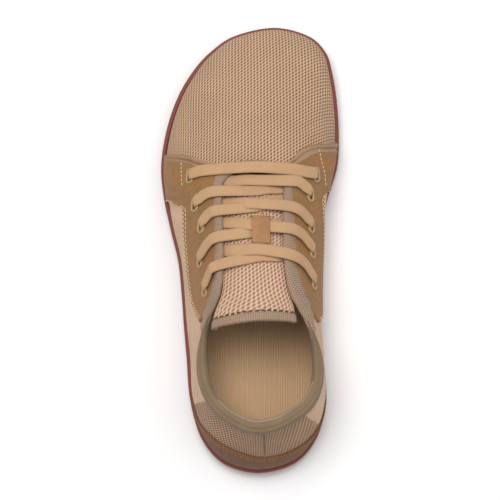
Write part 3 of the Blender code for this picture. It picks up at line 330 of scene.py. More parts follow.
# Each set of waved grooves: its wave, how many, the number of the first and the groove's width
TREAD_WAVES = ((TOE_WAVE, 6, 0.9, 0.0024), (HEEL_WAVE, 7, 1.0, 0.0034))
LUG_PITCH = 0.01505
LUG_GROOVE = 0.0034
TREAD_TURN = math.radians(3.0)
BORDER_WIDTH = 0.0046
LUG_SOFTNESS = 0.0006
WAVE_SOFTNESS = 0.0007
ENGRAVED_LINE = 0.00055
ENGRAVED_ARM = 0.0005
ENGRAVED_DEPTH = 0.0004
TREAD_ROWS, TREAD_COLUMNS = 400, 176
# The sole's side: shares of its height with a groove's depth, then the rim's rounding as inset and drop
SIDE_PROFILE = ((0.35, 0.0), (0.62, 0.0), (0.64, 0.0004), (0.70, 0.0), (0.98, 0.0))
RIM_PROFILE = ((0.0, 0.0016), (0.0003, 0.0008), (0.0009, 0.0002), (0.0016, 0.0), (0.0024, 0.0003),
               (0.0029, 0.0010))
# Relief of the sole's wall, which gives it its darker colour: painted shade on the sole's side
WALL_RELIEF = 2.0

# The insole's top over the sole's floor, its thickness, its raised edge and its faint hollows
INSOLE_LEVEL = 0.0042
INSOLE_THICKNESS = 0.0036
INSOLE_LIP = 0.0014
INSOLE_LIP_WIDTH = 0.007
INSOLE_WAVE, INSOLE_WAVE_REACH = 0.0003, 0.021
INSOLE_ROWS, INSOLE_COLUMNS = 160, 60

# Stitch rows, in metres: how far they lie from a piece's edge, and the radius of each thread
EYESTAY_INSETS = (0.0020, 0.0046)
STRIP_INSET = 0.0010
COUNTER_INSETS = (0.0009, 0.0031)
EYESTAY_THREAD = 0.00028
STRIP_THREAD = 0.00022
HEEL_THREAD = 0.00024
TONGUE_THREAD = 0.00048
KEEPER_THREAD = 0.00040
# A stitch from end to end: place as a share of its length, width as a share of its radius, and its rise
STITCH_BEAD = ((-0.5, 0.35, -0.5), (-0.28, 0.9, 0.15), (0.0, 1.0, 0.35), (0.28, 0.9, 0.15), (0.5, 0.35, -0.5))
# Stations and ups of the seam down the heel
HEEL_SEAM_STITCHES = ((-0.30, 0.44), (-0.31, 0.60), (-0.34, 0.78), (-0.36, 0.93))

# Creases of the upper: a soft trough (positive depth) or ridge between two places, in shares of the half
# width and half length, with its half width and depth in millimetres
Crease = namedtuple("Crease", "across_1 along_1 across_2 along_2 half_width depth")
CREASES = (
    Crease(0.56, 0.50, 0.82, 0.56, 1.6, 0.55),
    Crease(0.54, 0.46, 0.86, 0.51, 1.8, -0.45),
    Crease(-0.72, 0.49, -0.42, 0.46, 2.2, 0.50),
    Crease(-0.30, 0.52, 0.30, 0.55, 5.0, 0.35),
    Crease(-0.80, 0.22, -0.86, 0.36, 2.4, -0.50),
    Crease(-0.84, 0.16, -0.93, 0.20, 1.8, 0.60),
    Crease(0.80, 0.16, 0.86, 0.34, 2.4, -0.40),
    Crease(-0.62, -0.30, -0.66, -0.62, 4.0, 0.60),
    Crease(0.88, -0.34, 0.80, -0.70, 4.5, 0.60),
    Crease(-0.45, -0.74, -0.10, -0.86, 2.5, 0.45),
    Crease(0.30, -0.86, 0.66, -0.72, 2.5, 0.40),
    Crease(-0.93, 0.240, -0.74, 0.200, 1.3, -0.70),
    Crease(-0.92, 0.208, -0.73, 0.165, 1.2, -0.55),
    Crease(-0.90, 0.270, -0.76, 0.220, 1.4, 0.45),
)

# Lights: name, place, size and power. They are broad, so that the shadows stay soft.
LIGHTS = (("key_light", (-0.25, 0.29, 1.60), 0.8, 17.0), ("fill_light", (0.55, 0.10, 1.50), 1.2, 5.5))
SKY_STRENGTH = 0.40
FLOOR_SIZE = 6.0

# The camera stands over the shoe and leans a little towards the heel; the picture's width is in metres
CAMERA_TILT = math.radians(7.0)
CAMERA_TARGET = (0.0, -0.0021, 0.020)
CAMERA_DISTANCE = 1.3
PICTURE_WIDTH = 0.3055


def linear(code):
    """Linear colour of an sRGB hex code."""
    parts = [int(code[i:i + 2], 16) / 255 for i in (1, 3, 5)]
    return tuple(c / 12.92 if c <= 0.04045 else ((c + 0.055) / 1.055) ** 2.4 for c in parts)


def periodic_curve(values, where):
    """Smooth closed curve through evenly numbered rows, read at the given row numbers."""
    count = len(values)
    base = np.floor(where).astype(int)
    t = (where - base)[:, None]
    before, start, end, after = (values[(base + step) % count] for step in (-1, 0, 1, 2))
    return 0.5 * (2 * start + (end - before) * t + (2 * before - 5 * start + 4 * end - after) * t ** 2
                  + (3 * start - before - 3 * end + after) * t ** 3)


def open_curve(values, where):
    """Smooth open curve through evenly numbered rows, read at the given row numbers."""
    values = np.asarray(values, float)
    padded = np.vstack([2 * values[0] - values[1], values, 2 * values[-1] - values[-2]])
    where = np.clip(np.asarray(where, float), 0, len(values) - 1)
    base = np.minimum(np.floor(where).astype(int), len(values) - 2)
    t = (where - base)[:, None]
    before, start, end, after = (padded[base + step] for step in range(4))
    return 0.5 * (2 * start + (end - before) * t + (2 * before - 5 * start + 4 * end - after) * t ** 2
                  + (3 * start - before - 3 * end + after) * t ** 3)


def unit(vectors):
    """Vectors of length one."""
    return vectors / np.linalg.norm(vectors, axis=-1, keepdims=True)


def smooth_step(value):
    """0 below 0, 1 above 1 and a soft rise between."""
    t = np.clip(value, 0, 1)
    return t * t * (3 - 2 * t)


def rounded(value):
    """Height of a quarter circle, 0 at 0 and 1 from 1 on."""
    return np.sqrt(np.clip(1 - (1 - np.clip(value, 0, 1)) ** 2, 0, 1))


def station_row(section, medial):
    """Sizes in metres of one side of a section: the sole's edge, then the upper's wall."""
    sole = SOLE_SECTIONS[section]
    wall = (MEDIAL_WALLS if medial else LATERAL_WALLS)[section]
    tall = HEEL_HEIGHT if section <= ANKLE_SECTION else INSTEP_HEIGHT
    return (
        (sole.medial if medial else sole.lateral) * HALF_WIDTH, sole.along * HALF_LENGTH,
        sole.rim * HEEL_HEIGHT,
        wall.across * HALF_WIDTH, wall.along * HALF_LENGTH, wall.height * tall,
        wall.rise * tall, wall.bulge * HALF_WIDTH, wall.reach, wall.belly * HALF_WIDTH, wall.drop * tall,
    )


LAST = np.array([station_row(s, False) for s in range(TOE_STATION + 1)]
                + [station_row(s, True) for s in range(TOE_STATION - 1, 0, -1)])


def spring(y):
    """Height of the sole's underside over the ground."""
    share = np.clip((np.asarray(y) - SPRING_START) / (HALF_LENGTH - SPRING_START), 0, None)
    return TOE_SPRING * share ** 2


def floor_height(y):
    """Height of the sole's inner floor."""
    return spring(y) + TREAD_DEPTH + SOLE_BASE


def outward(station):
    """Level unit vector that points away from the sole's edge."""
    step = 0.02
    run = (periodic_curve(LAST, station + step) - periodic_curve(LAST, station - step))[:, :2]
    run /= np.linalg.norm(run, axis=1)[:, None]
    return np.column_stack([-run[:, 1], run[:, 0]])


def outline(station, inset):
    """Points of the sole's outline, moved inwards by inset."""
    station = np.asarray(station, float)
    return periodic_curve(LAST, station)[:, :2] - outward(station) * np.reshape(inset, (-1, 1))


def plan_grid(rows, columns, inset):
    """Grid of plan positions that fills the sole's outline, from the heel and from side to side."""
    section = np.linspace(0, TOE_STATION, rows + 1)
    share = np.linspace(0, 1, columns + 1)[:, None]
    left, right = outline(section, inset), outline(STATIONS - section, inset)
    return left[:, None] * (1 - share) + right[:, None] * share


def border_line(inset):
    """The sole's outline as one closed line, moved inwards by inset."""
    return outline(np.linspace(0, STATIONS, 145)[:-1], inset)


def wall_points(station, up):
    """Points on the outside of the upper; up runs from -1 at its foot to 0 at the rim and 1 at the edge."""
    row = periodic_curve(LAST, station)
    foot = outline(station, SOLE_WALL + CLEARANCE)
    normal = outward(station)
    edge, edge_z, rim = row[:, 3:5], row[:, 5], row[:, 2]
    rise, bulge, reach, belly, drop = row[:, 6], row[:, 7:8], row[:, 8:9], row[:, 9:10], row[:, 10]
    level = (foot, foot + normal * bulge, edge + (foot - edge) * reach + normal * belly, edge)
    height = (rim, rim + rise, edge_z - drop, edge_z)
    t = np.clip(up, 0, 1)
    weights = ((1 - t) ** 3, 3 * t * (1 - t) ** 2, 3 * t ** 2 * (1 - t), t ** 3)
    plan = sum(w[:, None] * p for w, p in zip(weights, level))
    swell = np.interp(station % STATIONS, *zip(*OVERHANG_SHARES)) * OVERHANG
    swell = swell * smooth_step(up / 0.06) * smooth_step((0.55 - up) / 0.45)
    plan = plan + normal * swell[:, None]
    z = sum(w * h for w, h in zip(weights, height))
    z = np.where(up < 0, rim + up * (rim - floor_height(foot[:, 1]) - CLEARANCE), z)
    past = 3 * np.clip(up - 1, 0, None)
    plan = plan + past[:, None] * (level[3] - level[2])
    return np.column_stack([plan, z + past * drop])


def wall_normals(station, up):
    """Unit vectors that point out of the upper."""
    step = 0.01
    low = np.where(up < 0, np.maximum(up - step, -1), np.maximum(up - step, 0))
    high = np.where(up < 0, np.minimum(up + step, 0), up + step)
    rising = wall_points(station, high) - wall_points(station, low)
    running = wall_points(station + step, up) - wall_points(station - step, up)
    return unit(np.cross(rising, running))


def normal_at(station, up):
    """Unit vector that points out of the upper at one place."""
    return wall_normals(np.array([station], float), np.array([up], float))[0]


def crease_depth(points):
    """How far the cloth sinks at each point, from the listed creases."""
    sunk = np.zeros(len(points))
    plan = points[:, :2]
    for crease in CREASES:
        start = np.array([crease.across_1 * HALF_WIDTH, crease.along_1 * HALF_LENGTH])
        run = np.array([crease.across_2 * HALF_WIDTH, crease.along_2 * HALF_LENGTH]) - start
        share = np.clip((plan - start) @ run / (run @ run), 0, 1)
        away = np.linalg.norm(plan - start - share[:, None] * run, axis=1)
        fade = np.sin(math.pi * np.clip(share, 0.04, 0.96)) ** 0.5
        sunk += crease.depth / 1000 * fade * np.exp(-(away / (crease.half_width / 1000)) ** 2)
    return sunk


def upper(station, up, lift=0.0):
    """Points at a distance, lift, from the outside of the creased upper."""
    station, up = np.broadcast_arrays(np.asarray(station, float), np.asarray(up, float))
    shape = station.shape
    station, up = station.ravel(), up.ravel()
    lift = np.broadcast_to(lift, shape).reshape(-1, 1)
    points = wall_points(station, up)
    soft = smooth_step(up / 0.12) * smooth_step((1.02 - up) / 0.15)
    away = lift - (crease_depth(points) * soft)[:, None]
    return (points + wall_normals(station, up) * away).reshape(shape + (3,))


def find(along, across, rear=6.0, front=14.0):
    """Station and up of the point of the upper that lies over a plan position, given as shares."""
    target = np.array([across * HALF_WIDTH, along * HALF_LENGTH])
    low, high = (rear, front) if across < 0 else (STATIONS - front, STATIONS - rear)
    centre, span = np.array([(low + high) / 2, 0.7]), np.array([(high - low) / 2, 0.3])
    for _ in range(6):
        station, up = np.meshgrid(np.linspace(centre[0] - span[0], centre[0] + span[0], 21),
                                  np.linspace(centre[1] - span[1], min(centre[1] + span[1], 1.0), 21))
        away = np.linalg.norm(upper(station, up)[..., :2] - target, axis=-1)
        best = np.unravel_index(np.argmin(away), away.shape)
        centre, span = np.array([station[best], up[best]]), span * 0.2
    return centre


def unrolled(station, up):
    """Flat coordinates, in metres, of the upper's cloth: plan place at the top edge, then down the wall."""
    station, up = np.broadcast_arrays(np.asarray(station, float), np.asarray(up, float))
    fine = np.linspace(-1, 1.1, 64)
    columns = station[:, 0]
    grid = wall_points(np.repeat(columns, len(fine)), np.tile(fine, len(columns)))
    grid = grid.reshape(len(columns), -1, 3)
    runs = np.concatenate([np.zeros((len(columns), 1)), np.cumsum(
        np.linalg.norm(np.diff(grid, axis=1), axis=2), axis=1)], axis=1)
    edge = np.array([np.interp(1.0, fine, run) for run in runs])
    down = np.array([e - np.interp(u, fine, run) for e, u, run in zip(edge, up, runs)])
    top = wall_points(columns, np.ones(len(columns)))[:, :2]
    foot = wall_points(columns, np.zeros(len(columns)))[:, :2]
    return top[:, None] + unit(foot - top)[:, None] * down[..., None]


def tongue_rows():
    """Six points across the tongue for each half section: two free rows, then rows under the throat."""
    size = np.array([HALF_LENGTH, HALF_WIDTH, INSTEP_HEIGHT])
    rows = [(np.array(row) * size)[:, (1, 0, 2)] for row in TONGUE_TOP]
    for section in np.arange(TONGUE_FIRST, TONGUE_LAST + 0.1, 0.5):
        tuck = np.interp(section, *zip(*TONGUE_TUCKS))
        crown = np.interp(section, *zip(*TONGUE_CROWNS)) * TONGUE_CROWN
        under = -(UPPER_WALL + np.interp(section, *zip(*TONGUE_GAPS)))
        sides = []
        for station in (section, STATIONS - section):
            sides.append((upper(station, 1 - tuck, under), upper(station, 1.0, under)))
        (a, b), (e, d) = sides
        lift = np.array([0, 0, crown])
        rows.append(np.array([a, b, b * 2 / 3 + d / 3 + lift, b / 3 + d * 2 / 3 + lift, d, e]))
    return np.array(rows)


TONGUE_ROWS = tongue_rows()


def tongue_points(row, across):
    """Points on the top of the tongue."""
    along = open_curve(np.eye(len(TONGUE_ROWS)), row)
    over = open_curve(np.eye(TONGUE_ROWS.shape[1]), across * (TONGUE_ROWS.shape[1] - 1))
    return np.einsum("nr,nc,rcx->nx", along, over, TONGUE_ROWS)


def tongue_normals(row, across):
    """Unit vectors that point up from the tongue."""
    step = 0.02
    ahead, behind = np.minimum(row + step, len(TONGUE_ROWS) - 1), np.maximum(row - step, 0)
    along = tongue_points(ahead, across) - tongue_points(behind, across)
    over = tongue_points(row, np.minimum(across + step, 1)) - tongue_points(row, np.maximum(across - step, 0))
    return unit(np.cross(over, along))


def tongue(row, across, lift=0.0):
    """Points at a distance, lift, over the tongue; row counts its rows, across runs from 0 to 1."""
    row, across = np.broadcast_arrays(np.asarray(row, float), np.asarray(across, float))
    shape = row.shape
    lift = np.broadcast_to(lift, shape).reshape(-1, 1)
    points = tongue_points(row.ravel(), across.ravel()) + tongue_normals(row.ravel(), across.ravel()) * lift
    return points.reshape(shape + (3,))


def tongue_row(section):
    """Row of the tongue under a section."""
    return len(TONGUE_TOP) + 2 * (section - TONGUE_FIRST)


def tongue_pitch():
    """Distance between the tongue's first two rows."""
    return float(np.linalg.norm(tongue(0.0, 0.5) - tongue(1.0, 0.5)))


def eyelet_frame(along, across):
    """Place of an eyelet on the upper: its centre, its long direction, its cross direction and normal."""
    station, up = find(along, across)
    centre = upper(station, up)
    normal = normal_at(station, up)
    long_way = np.array([0, 1, 0]) - normal * normal[1]
    long_way /= np.linalg.norm(long_way)
    return centre, long_way, np.cross(normal, long_way), normal


def length_property(label, description, default, low, high):
    """Length property, in metres."""
    return bpy.props.FloatProperty(name=label, description=description, default=default, min=low, max=high,
                                   unit="LENGTH")


class ShoeSizes(bpy.types.PropertyGroup):
    """Sizes that a user would change, in metres."""
    lace_width: length_property("Lace width", "Width of the flat lace", 0.0076, 0.004, 0.012)
    lace_thickness: length_property("Lace thickness", "Thickness of the lace", 0.0013, 0.0006, 0.003)
    eyelet_length: length_property("Eyelet length", "Outer length of an eyelet", 0.0100, 0.006, 0.012)
    eyelet_width: length_property("Eyelet width", "Outer width of an eyelet", 0.0062, 0.004, 0.008)
    overlay_thickness: length_property("Suede thickness", "Thickness of the overlays", 0.0012, 0.0006, 0.002)
    strip_thickness: length_property("Strip thickness", "Thickness of the toe strips", 0.0016, 0.0006, 0.003)
    stitch_pitch: length_property("Stitch pitch", "Distance between stitches", 0.0026, 0.0015, 0.005)
    knit_pitch: length_property("Knit pitch", "Distance between the knit's columns", 0.0020, 0.0008, 0.004)


def colour_property(label, code):
    """Colour property with an sRGB default."""
    return bpy.props.FloatVectorProperty(name=label, description=f"Colour of the {label.lower()}",
                                         subtype="COLOR", size=3, min=0, max=1, default=linear(code))


class ShoeColours(bpy.types.PropertyGroup):
    """Colours that a user would change."""
    knit: colour_property("Mesh knit", "#CBA686")
    knit_shade: colour_property("Mesh knit holes", "#5A3C26")
    heel_knit: colour_property("Heel mesh", "#BE987A")
    heel_knit_shade: colour_property("Heel mesh holes", "#4C3322")
    panel: colour_property("Side panel", "#D7B294")
    suede: colour_property("Suede", "#8E693F")
    suede_warm: colour_property("Warm suede patches", "#A0683A")
    strip: colour_property("Toe strip", "#AB8A6B")
    edging: colour_property("Throat edging", "#AE917A")
    collar: colour_property("Collar cloth", "#8A745A")
    # The collar lining is a cloth of its own, but made paler than the collar cloth as painted light on its lit
    # inner side
    lining: colour_property("Collar lining", "#AB957C")
    counter: colour_property("Heel counter", "#6F4B30")
    lace: colour_property("Lace webbing", "#CEA47A")
    keeper: colour_property("Keeper leather", "#A87A50")
    eyelet: colour_property("Eyelets", "#AE9069")
    rubber: colour_property("Tread rubber", "#A9553E")
    # Painted shade: the sole's side wall takes a darker copy of the tread rubber, and the grooves are darker
    # still
    rubber_wall_shade: colour_property("Sole wall", "#7E3A2C")
    rubber_shade: colour_property("Tread grooves", "#7E2C1E")
    insole: colour_property("Insole cloth", "#D0AB84")
    thread: colour_property("Light thread", "#E6CFA4")
    thread_dark: colour_property("Dark thread", "#58422C")
    thread_rust: colour_property("Rust thread", "#A06C3C")
    tongue: colour_property("Tongue mesh", "#D8B297")
    tongue_shade: colour_property("Tongue mesh holes", "#87644A")
    floor: colour_property("Floor", "#FAFAFA")


def sizes():
    """The sizes in use."""
    return bpy.context.scene.shoe_sizes


def colours():
    """The colours in use."""
    return bpy.context.scene.shoe_colours


def node(tree, kind, settings, links):
    """Add a node with its settings, and link or set its inputs."""
    made = tree.nodes.new(kind)
    for name, value in settings.items():
        setattr(made, name, value)
    for socket, value in links.items():
        if isinstance(value, bpy.types.NodeSocket):
            tree.links.new(value, made.inputs[socket])
        else:
            made.inputs[socket].default_value = value
    return made


def surface(name, roughness, sheen=0.0, coat=0.0, ior=1.45):
    """New material with its shader; returns the material, its node tree and the shader."""
    made = bpy.data.materials.new(name)
    made.use_nodes = True
    shader = made.node_tree.nodes["Principled BSDF"]
    shader.inputs["Roughness"].default_value = roughness
    shader.inputs["Sheen Weight"].default_value = sheen
    shader.inputs["Sheen Roughness"].default_value = 0.5
    shader.inputs["Coat Weight"].default_value = coat
    shader.inputs["IOR"].default_value = ior
    return made, made.node_tree, shader


def finish_shader(tree, shader, colour, height, depth):
    """Feed a colour and a bump of the given depth, in metres, to the shader."""
    bump = node(tree, "ShaderNodeBump", {}, {"Strength": 1.0, "Distance": depth, "Height": height})
    tree.links.new(colour, shader.inputs["Base Color"])
    tree.links.new(bump.outputs["Normal"], shader.inputs["Normal"])


def rgba(colour, share=1.0):
    """Colour as four numbers, brightened or darkened by a share."""
    return (*[min(c * share, 1.0) for c in colour], 1.0)


def mixed(tree, factor, low, high):
    """Colour between two others."""
    mix = node(tree, "ShaderNodeMix", {"data_type": "RGBA"}, {"Factor": factor})
    for socket, value in ((mix.inputs[6], low), (mix.inputs[7], high)):
        if isinstance(value, bpy.types.NodeSocket):
            tree.links.new(value, socket)
        else:
            socket.default_value = value
    return mix.outputs[2]


def maths(tree, operation, first, second=0.0):
    """Result of a sum on two values."""
    return node(tree, "ShaderNodeMath", {"operation": operation}, {0: first, 1: second}).outputs[0]


def noise(tree, vector, scale, detail=2.0):
    """Noise over a vector, 0 to 1."""
    links = {"Vector": vector, "Scale": scale, "Detail": detail}
    return node(tree, "ShaderNodeTexNoise", {}, links).outputs[0]


def object_place(tree):
    """The place on the shoe, in metres."""
    return node(tree, "ShaderNodeTexCoord", {}, {}).outputs["Object"]


def ranged(tree, value, low, high, to_low=0.0, to_high=1.0):
    """Value mapped softly from one range to another."""
    made = node(tree, "ShaderNodeMapRange", {"interpolation_type": "SMOOTHSTEP"},
                {"Value": value, "From Min": low, "From Max": high, "To Min": to_low, "To Max": to_high})
    return made.outputs[0]


def ribs(tree, value, pitch):
    """Cosine ribs, -1 to 1, over a length."""
    return maths(tree, "COSINE", maths(tree, "MULTIPLY", value, 2 * math.pi / pitch))


def mottled(tree, place, colour, scale, span, shades, detail=3.0):
    """Colour that drifts between two shades of itself; span is the part of the noise that it follows."""
    cloud = ranged(tree, noise(tree, place, scale, detail), *span)
    return mixed(tree, cloud, rgba(colour, shades[0]), rgba(colour, shades[1]))


# In the materials, noise scales count per metre, pitches and bump depths are metres, and the other numbers are
# shares of a colour or of its mix, matched to the photo
def knit_material(name, colour, shade, pitch, drop):
    """Warp-knitted polyester mesh: slanting columns of pale loops with dark gaps between."""
    made, tree, shader = surface(name, 0.85, sheen=0.04)
    flat = node(tree, "ShaderNodeTexCoord", {}, {}).outputs["UV"]
    spot = object_place(tree)
    wobble = node(tree, "ShaderNodeTexNoise", {}, {"Vector": flat, "Scale": 90.0, "Detail": 1.0})
    moved = node(tree, "ShaderNodeVectorMath", {"operation": "MULTIPLY_ADD"},
                 {0: wobble.outputs["Color"], 1: (0.0004, 0.0004, 0), 2: flat}).outputs[0]
    split = node(tree, "ShaderNodeSeparateXYZ", {}, {"Vector": moved})
    slant = maths(tree, "SUBTRACT", maths(tree, "MULTIPLY", split.outputs["X"], 0.64),
                  maths(tree, "MULTIPLY", split.outputs["Y"], 0.90))
    loops = maths(tree, "ADD", ribs(tree, split.outputs["X"], pitch), ribs(tree, slant, pitch))
    yarn = ranged(tree, loops, -1.9, 0.9)
    pale = mottled(tree, spot, colour, 38.0, (0.35, 0.65), (0.94, 1.04))
    holes = mixed(tree, yarn, rgba(shade), pale)
    fine = noise(tree, flat, 2600.0, 1.0)
    colour_out = mixed(tree, maths(tree, "MULTIPLY", fine, 0.25), holes, rgba(colour, 1.18))
    height = maths(tree, "ADD", yarn, maths(tree, "MULTIPLY", fine, 0.2))
    finish_shader(tree, shader, colour_out, height, drop)
    return made


def suede_material(name, colour, warm):
    """Split leather with a brushed nap: no gloss, cloudy where the nap was stroked."""
    made, tree, shader = surface(name, 0.95, sheen=0.08)
    spot = object_place(tree)
    cloud = ranged(tree, noise(tree, spot, 45.0, 4.0), 0.40, 0.62)
    nap = noise(tree, spot, 1400.0, 3.0)
    strokes = ranged(tree, noise(tree, spot, 260.0, 3.0), 0.35, 0.65)
    base = mixed(tree, cloud, rgba(colour), rgba(warm))
    stroked = mixed(tree, strokes, mixed(tree, 0.5, base, rgba(colour, 0.72)), base)
    colour_out = mixed(tree, maths(tree, "MULTIPLY", nap, 0.55), stroked, rgba(colour, 1.45))
    finish_shader(tree, shader, colour_out, nap, 0.0004)
    return made


def cloth_material(name, colour, pitch, depth, roughness=0.88, coordinates="UV"):
    """Tightly woven cloth: fine crossed threads that read as an even, slightly mottled face."""
    made, tree, shader = surface(name, roughness, sheen=0.04)
    source = node(tree, "ShaderNodeTexCoord", {}, {})
    flat, spot = source.outputs[coordinates], source.outputs["Object"]
    split = node(tree, "ShaderNodeSeparateXYZ", {}, {"Vector": flat})
    warp, weft = ribs(tree, split.outputs["X"], pitch), ribs(tree, split.outputs["Y"], pitch)
    weave = maths(tree, "MULTIPLY", warp, weft)
    threads = ranged(tree, weave, -1.0, 1.0)
    base = mottled(tree, spot, colour, 70.0, (0.3, 0.7), (0.92, 1.06))
    colour_out = mixed(tree, threads, mixed(tree, 0.5, base, rgba(colour, 0.75)), base)
    finish_shader(tree, shader, colour_out, threads, depth)
    return made


def webbing_material(name, colour):
    """Flat-woven polyester lace: fine diagonal threads, darkened towards its rounded edges as painted shade.
    """
    made, tree, shader = surface(name, 0.75, sheen=0.04)
    source = node(tree, "ShaderNodeTexCoord", {}, {})
    split = node(tree, "ShaderNodeSeparateXYZ", {}, {"Vector": source.outputs["UV"]})
    along, across = split.outputs["X"], split.outputs["Y"]
    slant = maths(tree, "ADD", along, maths(tree, "ABSOLUTE", across))
    twill = maths(tree, "MULTIPLY", ribs(tree, slant, 0.0011), ribs(tree, across, 0.0008))
    threads = ranged(tree, twill, -1.0, 1.0)
    base = mottled(tree, source.outputs["Object"], colour, 160.0, (0.3, 0.7), (0.95, 1.05), 2.0)
    # Painted shade: the lace darkens towards its rounded edges, where they turn away from the light
    edge = ranged(tree, maths(tree, "ABSOLUTE", across), 0.65 * RIBBON_HALF, 1.025 * RIBBON_HALF, 0.0, 0.45)
    colour_out = mixed(tree, edge, mixed(tree, threads, rgba(colour, 0.78), base), rgba(colour, 0.55))
    finish_shader(tree, shader, colour_out, threads, 0.00014)
    return made


def ribbed_material(name, colour):
    """Insole cover cloth: fine ribs along the foot."""
    made, tree, shader = surface(name, 0.9, sheen=0.04)
    spot = object_place(tree)
    split = node(tree, "ShaderNodeSeparateXYZ", {}, {"Vector": spot})
    rib = ranged(tree, ribs(tree, split.outputs["X"], 0.0015), -1.0, 1.0)
    purl = ranged(tree, ribs(tree, split.outputs["Y"], 0.0010), -1.0, 1.0)
    height = maths(tree, "ADD", rib, maths(tree, "MULTIPLY", purl, 0.3))
    base = mottled(tree, spot, colour, 30.0, (0.3, 0.7), (0.93, 1.05))
    colour_out = mixed(tree, rib, rgba(colour, 0.88), base)
    finish_shader(tree, shader, colour_out, height, 0.0002)
    return made


def leather_material(name, colour):
    """Smooth tan leather with a fine grain."""
    made, tree, shader = surface(name, 0.6, coat=0.05)
    spot = object_place(tree)
    grain = noise(tree, spot, 1100.0, 3.0)
    base = mottled(tree, spot, colour, 130.0, (0.35, 0.7), (0.9, 1.1))
    colour_out = mixed(tree, maths(tree, "MULTIPLY", grain, 0.3), base, rgba(colour, 0.7))
    finish_shader(tree, shader, colour_out, grain, 0.00015)
    return made


def rubber_material(name, colour, shade, wall):
    """Moulded rubber, matt, with a faint bloom. Relief is 0 in a groove, 1 on a lug and 2 on the wall."""
    made, tree, shader = surface(name, 0.55, ior=1.5)
    spot = object_place(tree)
    relief = node(tree, "ShaderNodeAttribute", {"attribute_name": "relief"}, {}).outputs["Fac"]
    base = mottled(tree, spot, colour, 60.0, (0.3, 0.7), (0.93, 1.06))
    # Painted shade: the grooves and the side wall take darker colours than the lugs
    tread = mixed(tree, relief, rgba(shade), base)
    colour_out = mixed(tree, maths(tree, "SUBTRACT", relief, 1.0), tread, rgba(wall))
    finish_shader(tree, shader, colour_out, noise(tree, spot, 1500.0, 2.0), 0.00006)
    return made


def thread_material(name, colour):
    """Twisted polyester thread, a little shiny."""
    made, tree, shader = surface(name, 0.6)
    spot = object_place(tree)
    twist = noise(tree, spot, 2400.0, 1.0)
    finish_shader(tree, shader, mixed(tree, twist, rgba(colour, 0.85), rgba(colour, 1.08)), twist, 0.00008)
    return made


def moulded_material(name, colour):
    """Soft moulded plastic with a satin face."""
    made, tree, shader = surface(name, 0.5)
    spot = object_place(tree)
    cloud = noise(tree, spot, 400.0, 2.0)
    finish_shader(tree, shader, mixed(tree, cloud, rgba(colour, 0.92), rgba(colour, 1.05)), cloud, 0.00005)
    return made


def finish(name):
    """Material of that name, made once."""
    found = bpy.data.materials.get(name)
    if found:
        return found
    c, pitch = colours(), sizes().knit_pitch
    return {
        "mesh_knit": lambda: knit_material(name, c.knit, c.knit_shade, pitch, 0.0005),
        "tongue_knit": lambda: knit_material(name, c.tongue, c.tongue_shade, 1.1 * pitch, 0.0006),
        "side_panel_cloth": lambda: cloth_material(name, c.panel, 0.0009, 0.00008),
        "collar_cloth": lambda: cloth_material(name, c.collar, 0.0012, 0.00015),
        "heel_knit": lambda: knit_material(name, c.heel_knit, c.heel_knit_shade, pitch, 0.0006),
        # Paler copy of the collar cloth: painted light on the lit inside
        "lit_lining_cloth": lambda: cloth_material(name, c.lining, 0.0014, 0.00010),
        "edging_mesh": lambda: knit_material(name, c.edging, rgba(c.edging, 0.45)[:3], 0.0013, 0.0003),
        "strip_cloth": lambda: cloth_material(name, c.strip, 0.0012, 0.00012),
        "brushed_suede": lambda: suede_material(name, c.suede, c.suede_warm),
        "counter_suede": lambda: suede_material(name, c.counter, c.counter),
        "woven_polyester_lace": lambda: webbing_material(name, c.lace),
        "smooth_tan_leather": lambda: leather_material(name, c.keeper),
        "eyelet_plastic": lambda: moulded_material(name, c.eyelet),
        "sole_rubber": lambda: rubber_material(name, c.rubber, c.rubber_shade, c.rubber_wall_shade),
        "insole_ribbed_cloth": lambda: ribbed_material(name, c.insole),
        "light_thread": lambda: thread_material(name, c.thread),
        "dark_thread": lambda: thread_material(name, c.thread_dark),
        "rust_thread": lambda: thread_material(name, c.thread_rust),
    }[name]()


def select_only(piece):
    """Make one piece the active and only selected one."""
    bpy.ops.object.select_all(action="DESELECT")
    piece.select_set(True)
    bpy.context.view_layer.objects.active = piece


def apply_modifier(piece, kind, **settings):
    """Add a modifier, set it and apply it."""
    select_only(piece)
    step = piece.modifiers.new(kind.lower(), kind)
    for name, value in settings.items():
        setattr(step, name, value)
    bpy.ops.object.modifier_apply(modifier=step.name)


def sheet_piece(name, points, flat, finishes, closed=False, relief=None):
    """Piece from a grid primitive laid on a surface: points and flat coordinates for each column and row."""
    columns, rows = points.shape[:2]
    bpy.ops.object.select_all(action="DESELECT")
    bpy.ops.mesh.primitive_grid_add(x_subdivisions=columns - 1, y_subdivisions=rows - 1, size=2,
                                    calc_uvs=True)
    piece = bpy.context.active_object
    piece.name = piece.data.name = name
    mesh = piece.data
    if len(mesh.vertices) != columns * rows:
        raise RuntimeError(f"{name}: the grid has {len(mesh.vertices)} points and not {columns * rows}")
    place = np.empty(len(mesh.vertices) * 3)
    mesh.vertices.foreach_get("co", place)
    place = place.reshape(-1, 3)
    column = np.rint((place[:, 0] + 1) / 2 * (columns - 1)).astype(int)
    row = np.rint((place[:, 1] + 1) / 2 * (rows - 1)).astype(int)
    mesh.vertices.foreach_set("co", points[column, row].ravel())
    corner = np.empty(len(mesh.loops), int)
    mesh.loops.foreach_get("vertex_index", corner)
    mesh.uv_layers.active.uv.foreach_set("vector", flat[column[corner], row[corner]].ravel())
    if relief is not None:
        shade = mesh.attributes.new("relief", "FLOAT", "POINT")
        shade.data.foreach_set("value", relief[column, row].astype(np.float32))
    for made in finishes:
        mesh.materials.append(finish(made))
    mesh.update()
    if closed:
        weld(piece, 1e-6)
    bpy.ops.object.shade_smooth()
    return piece


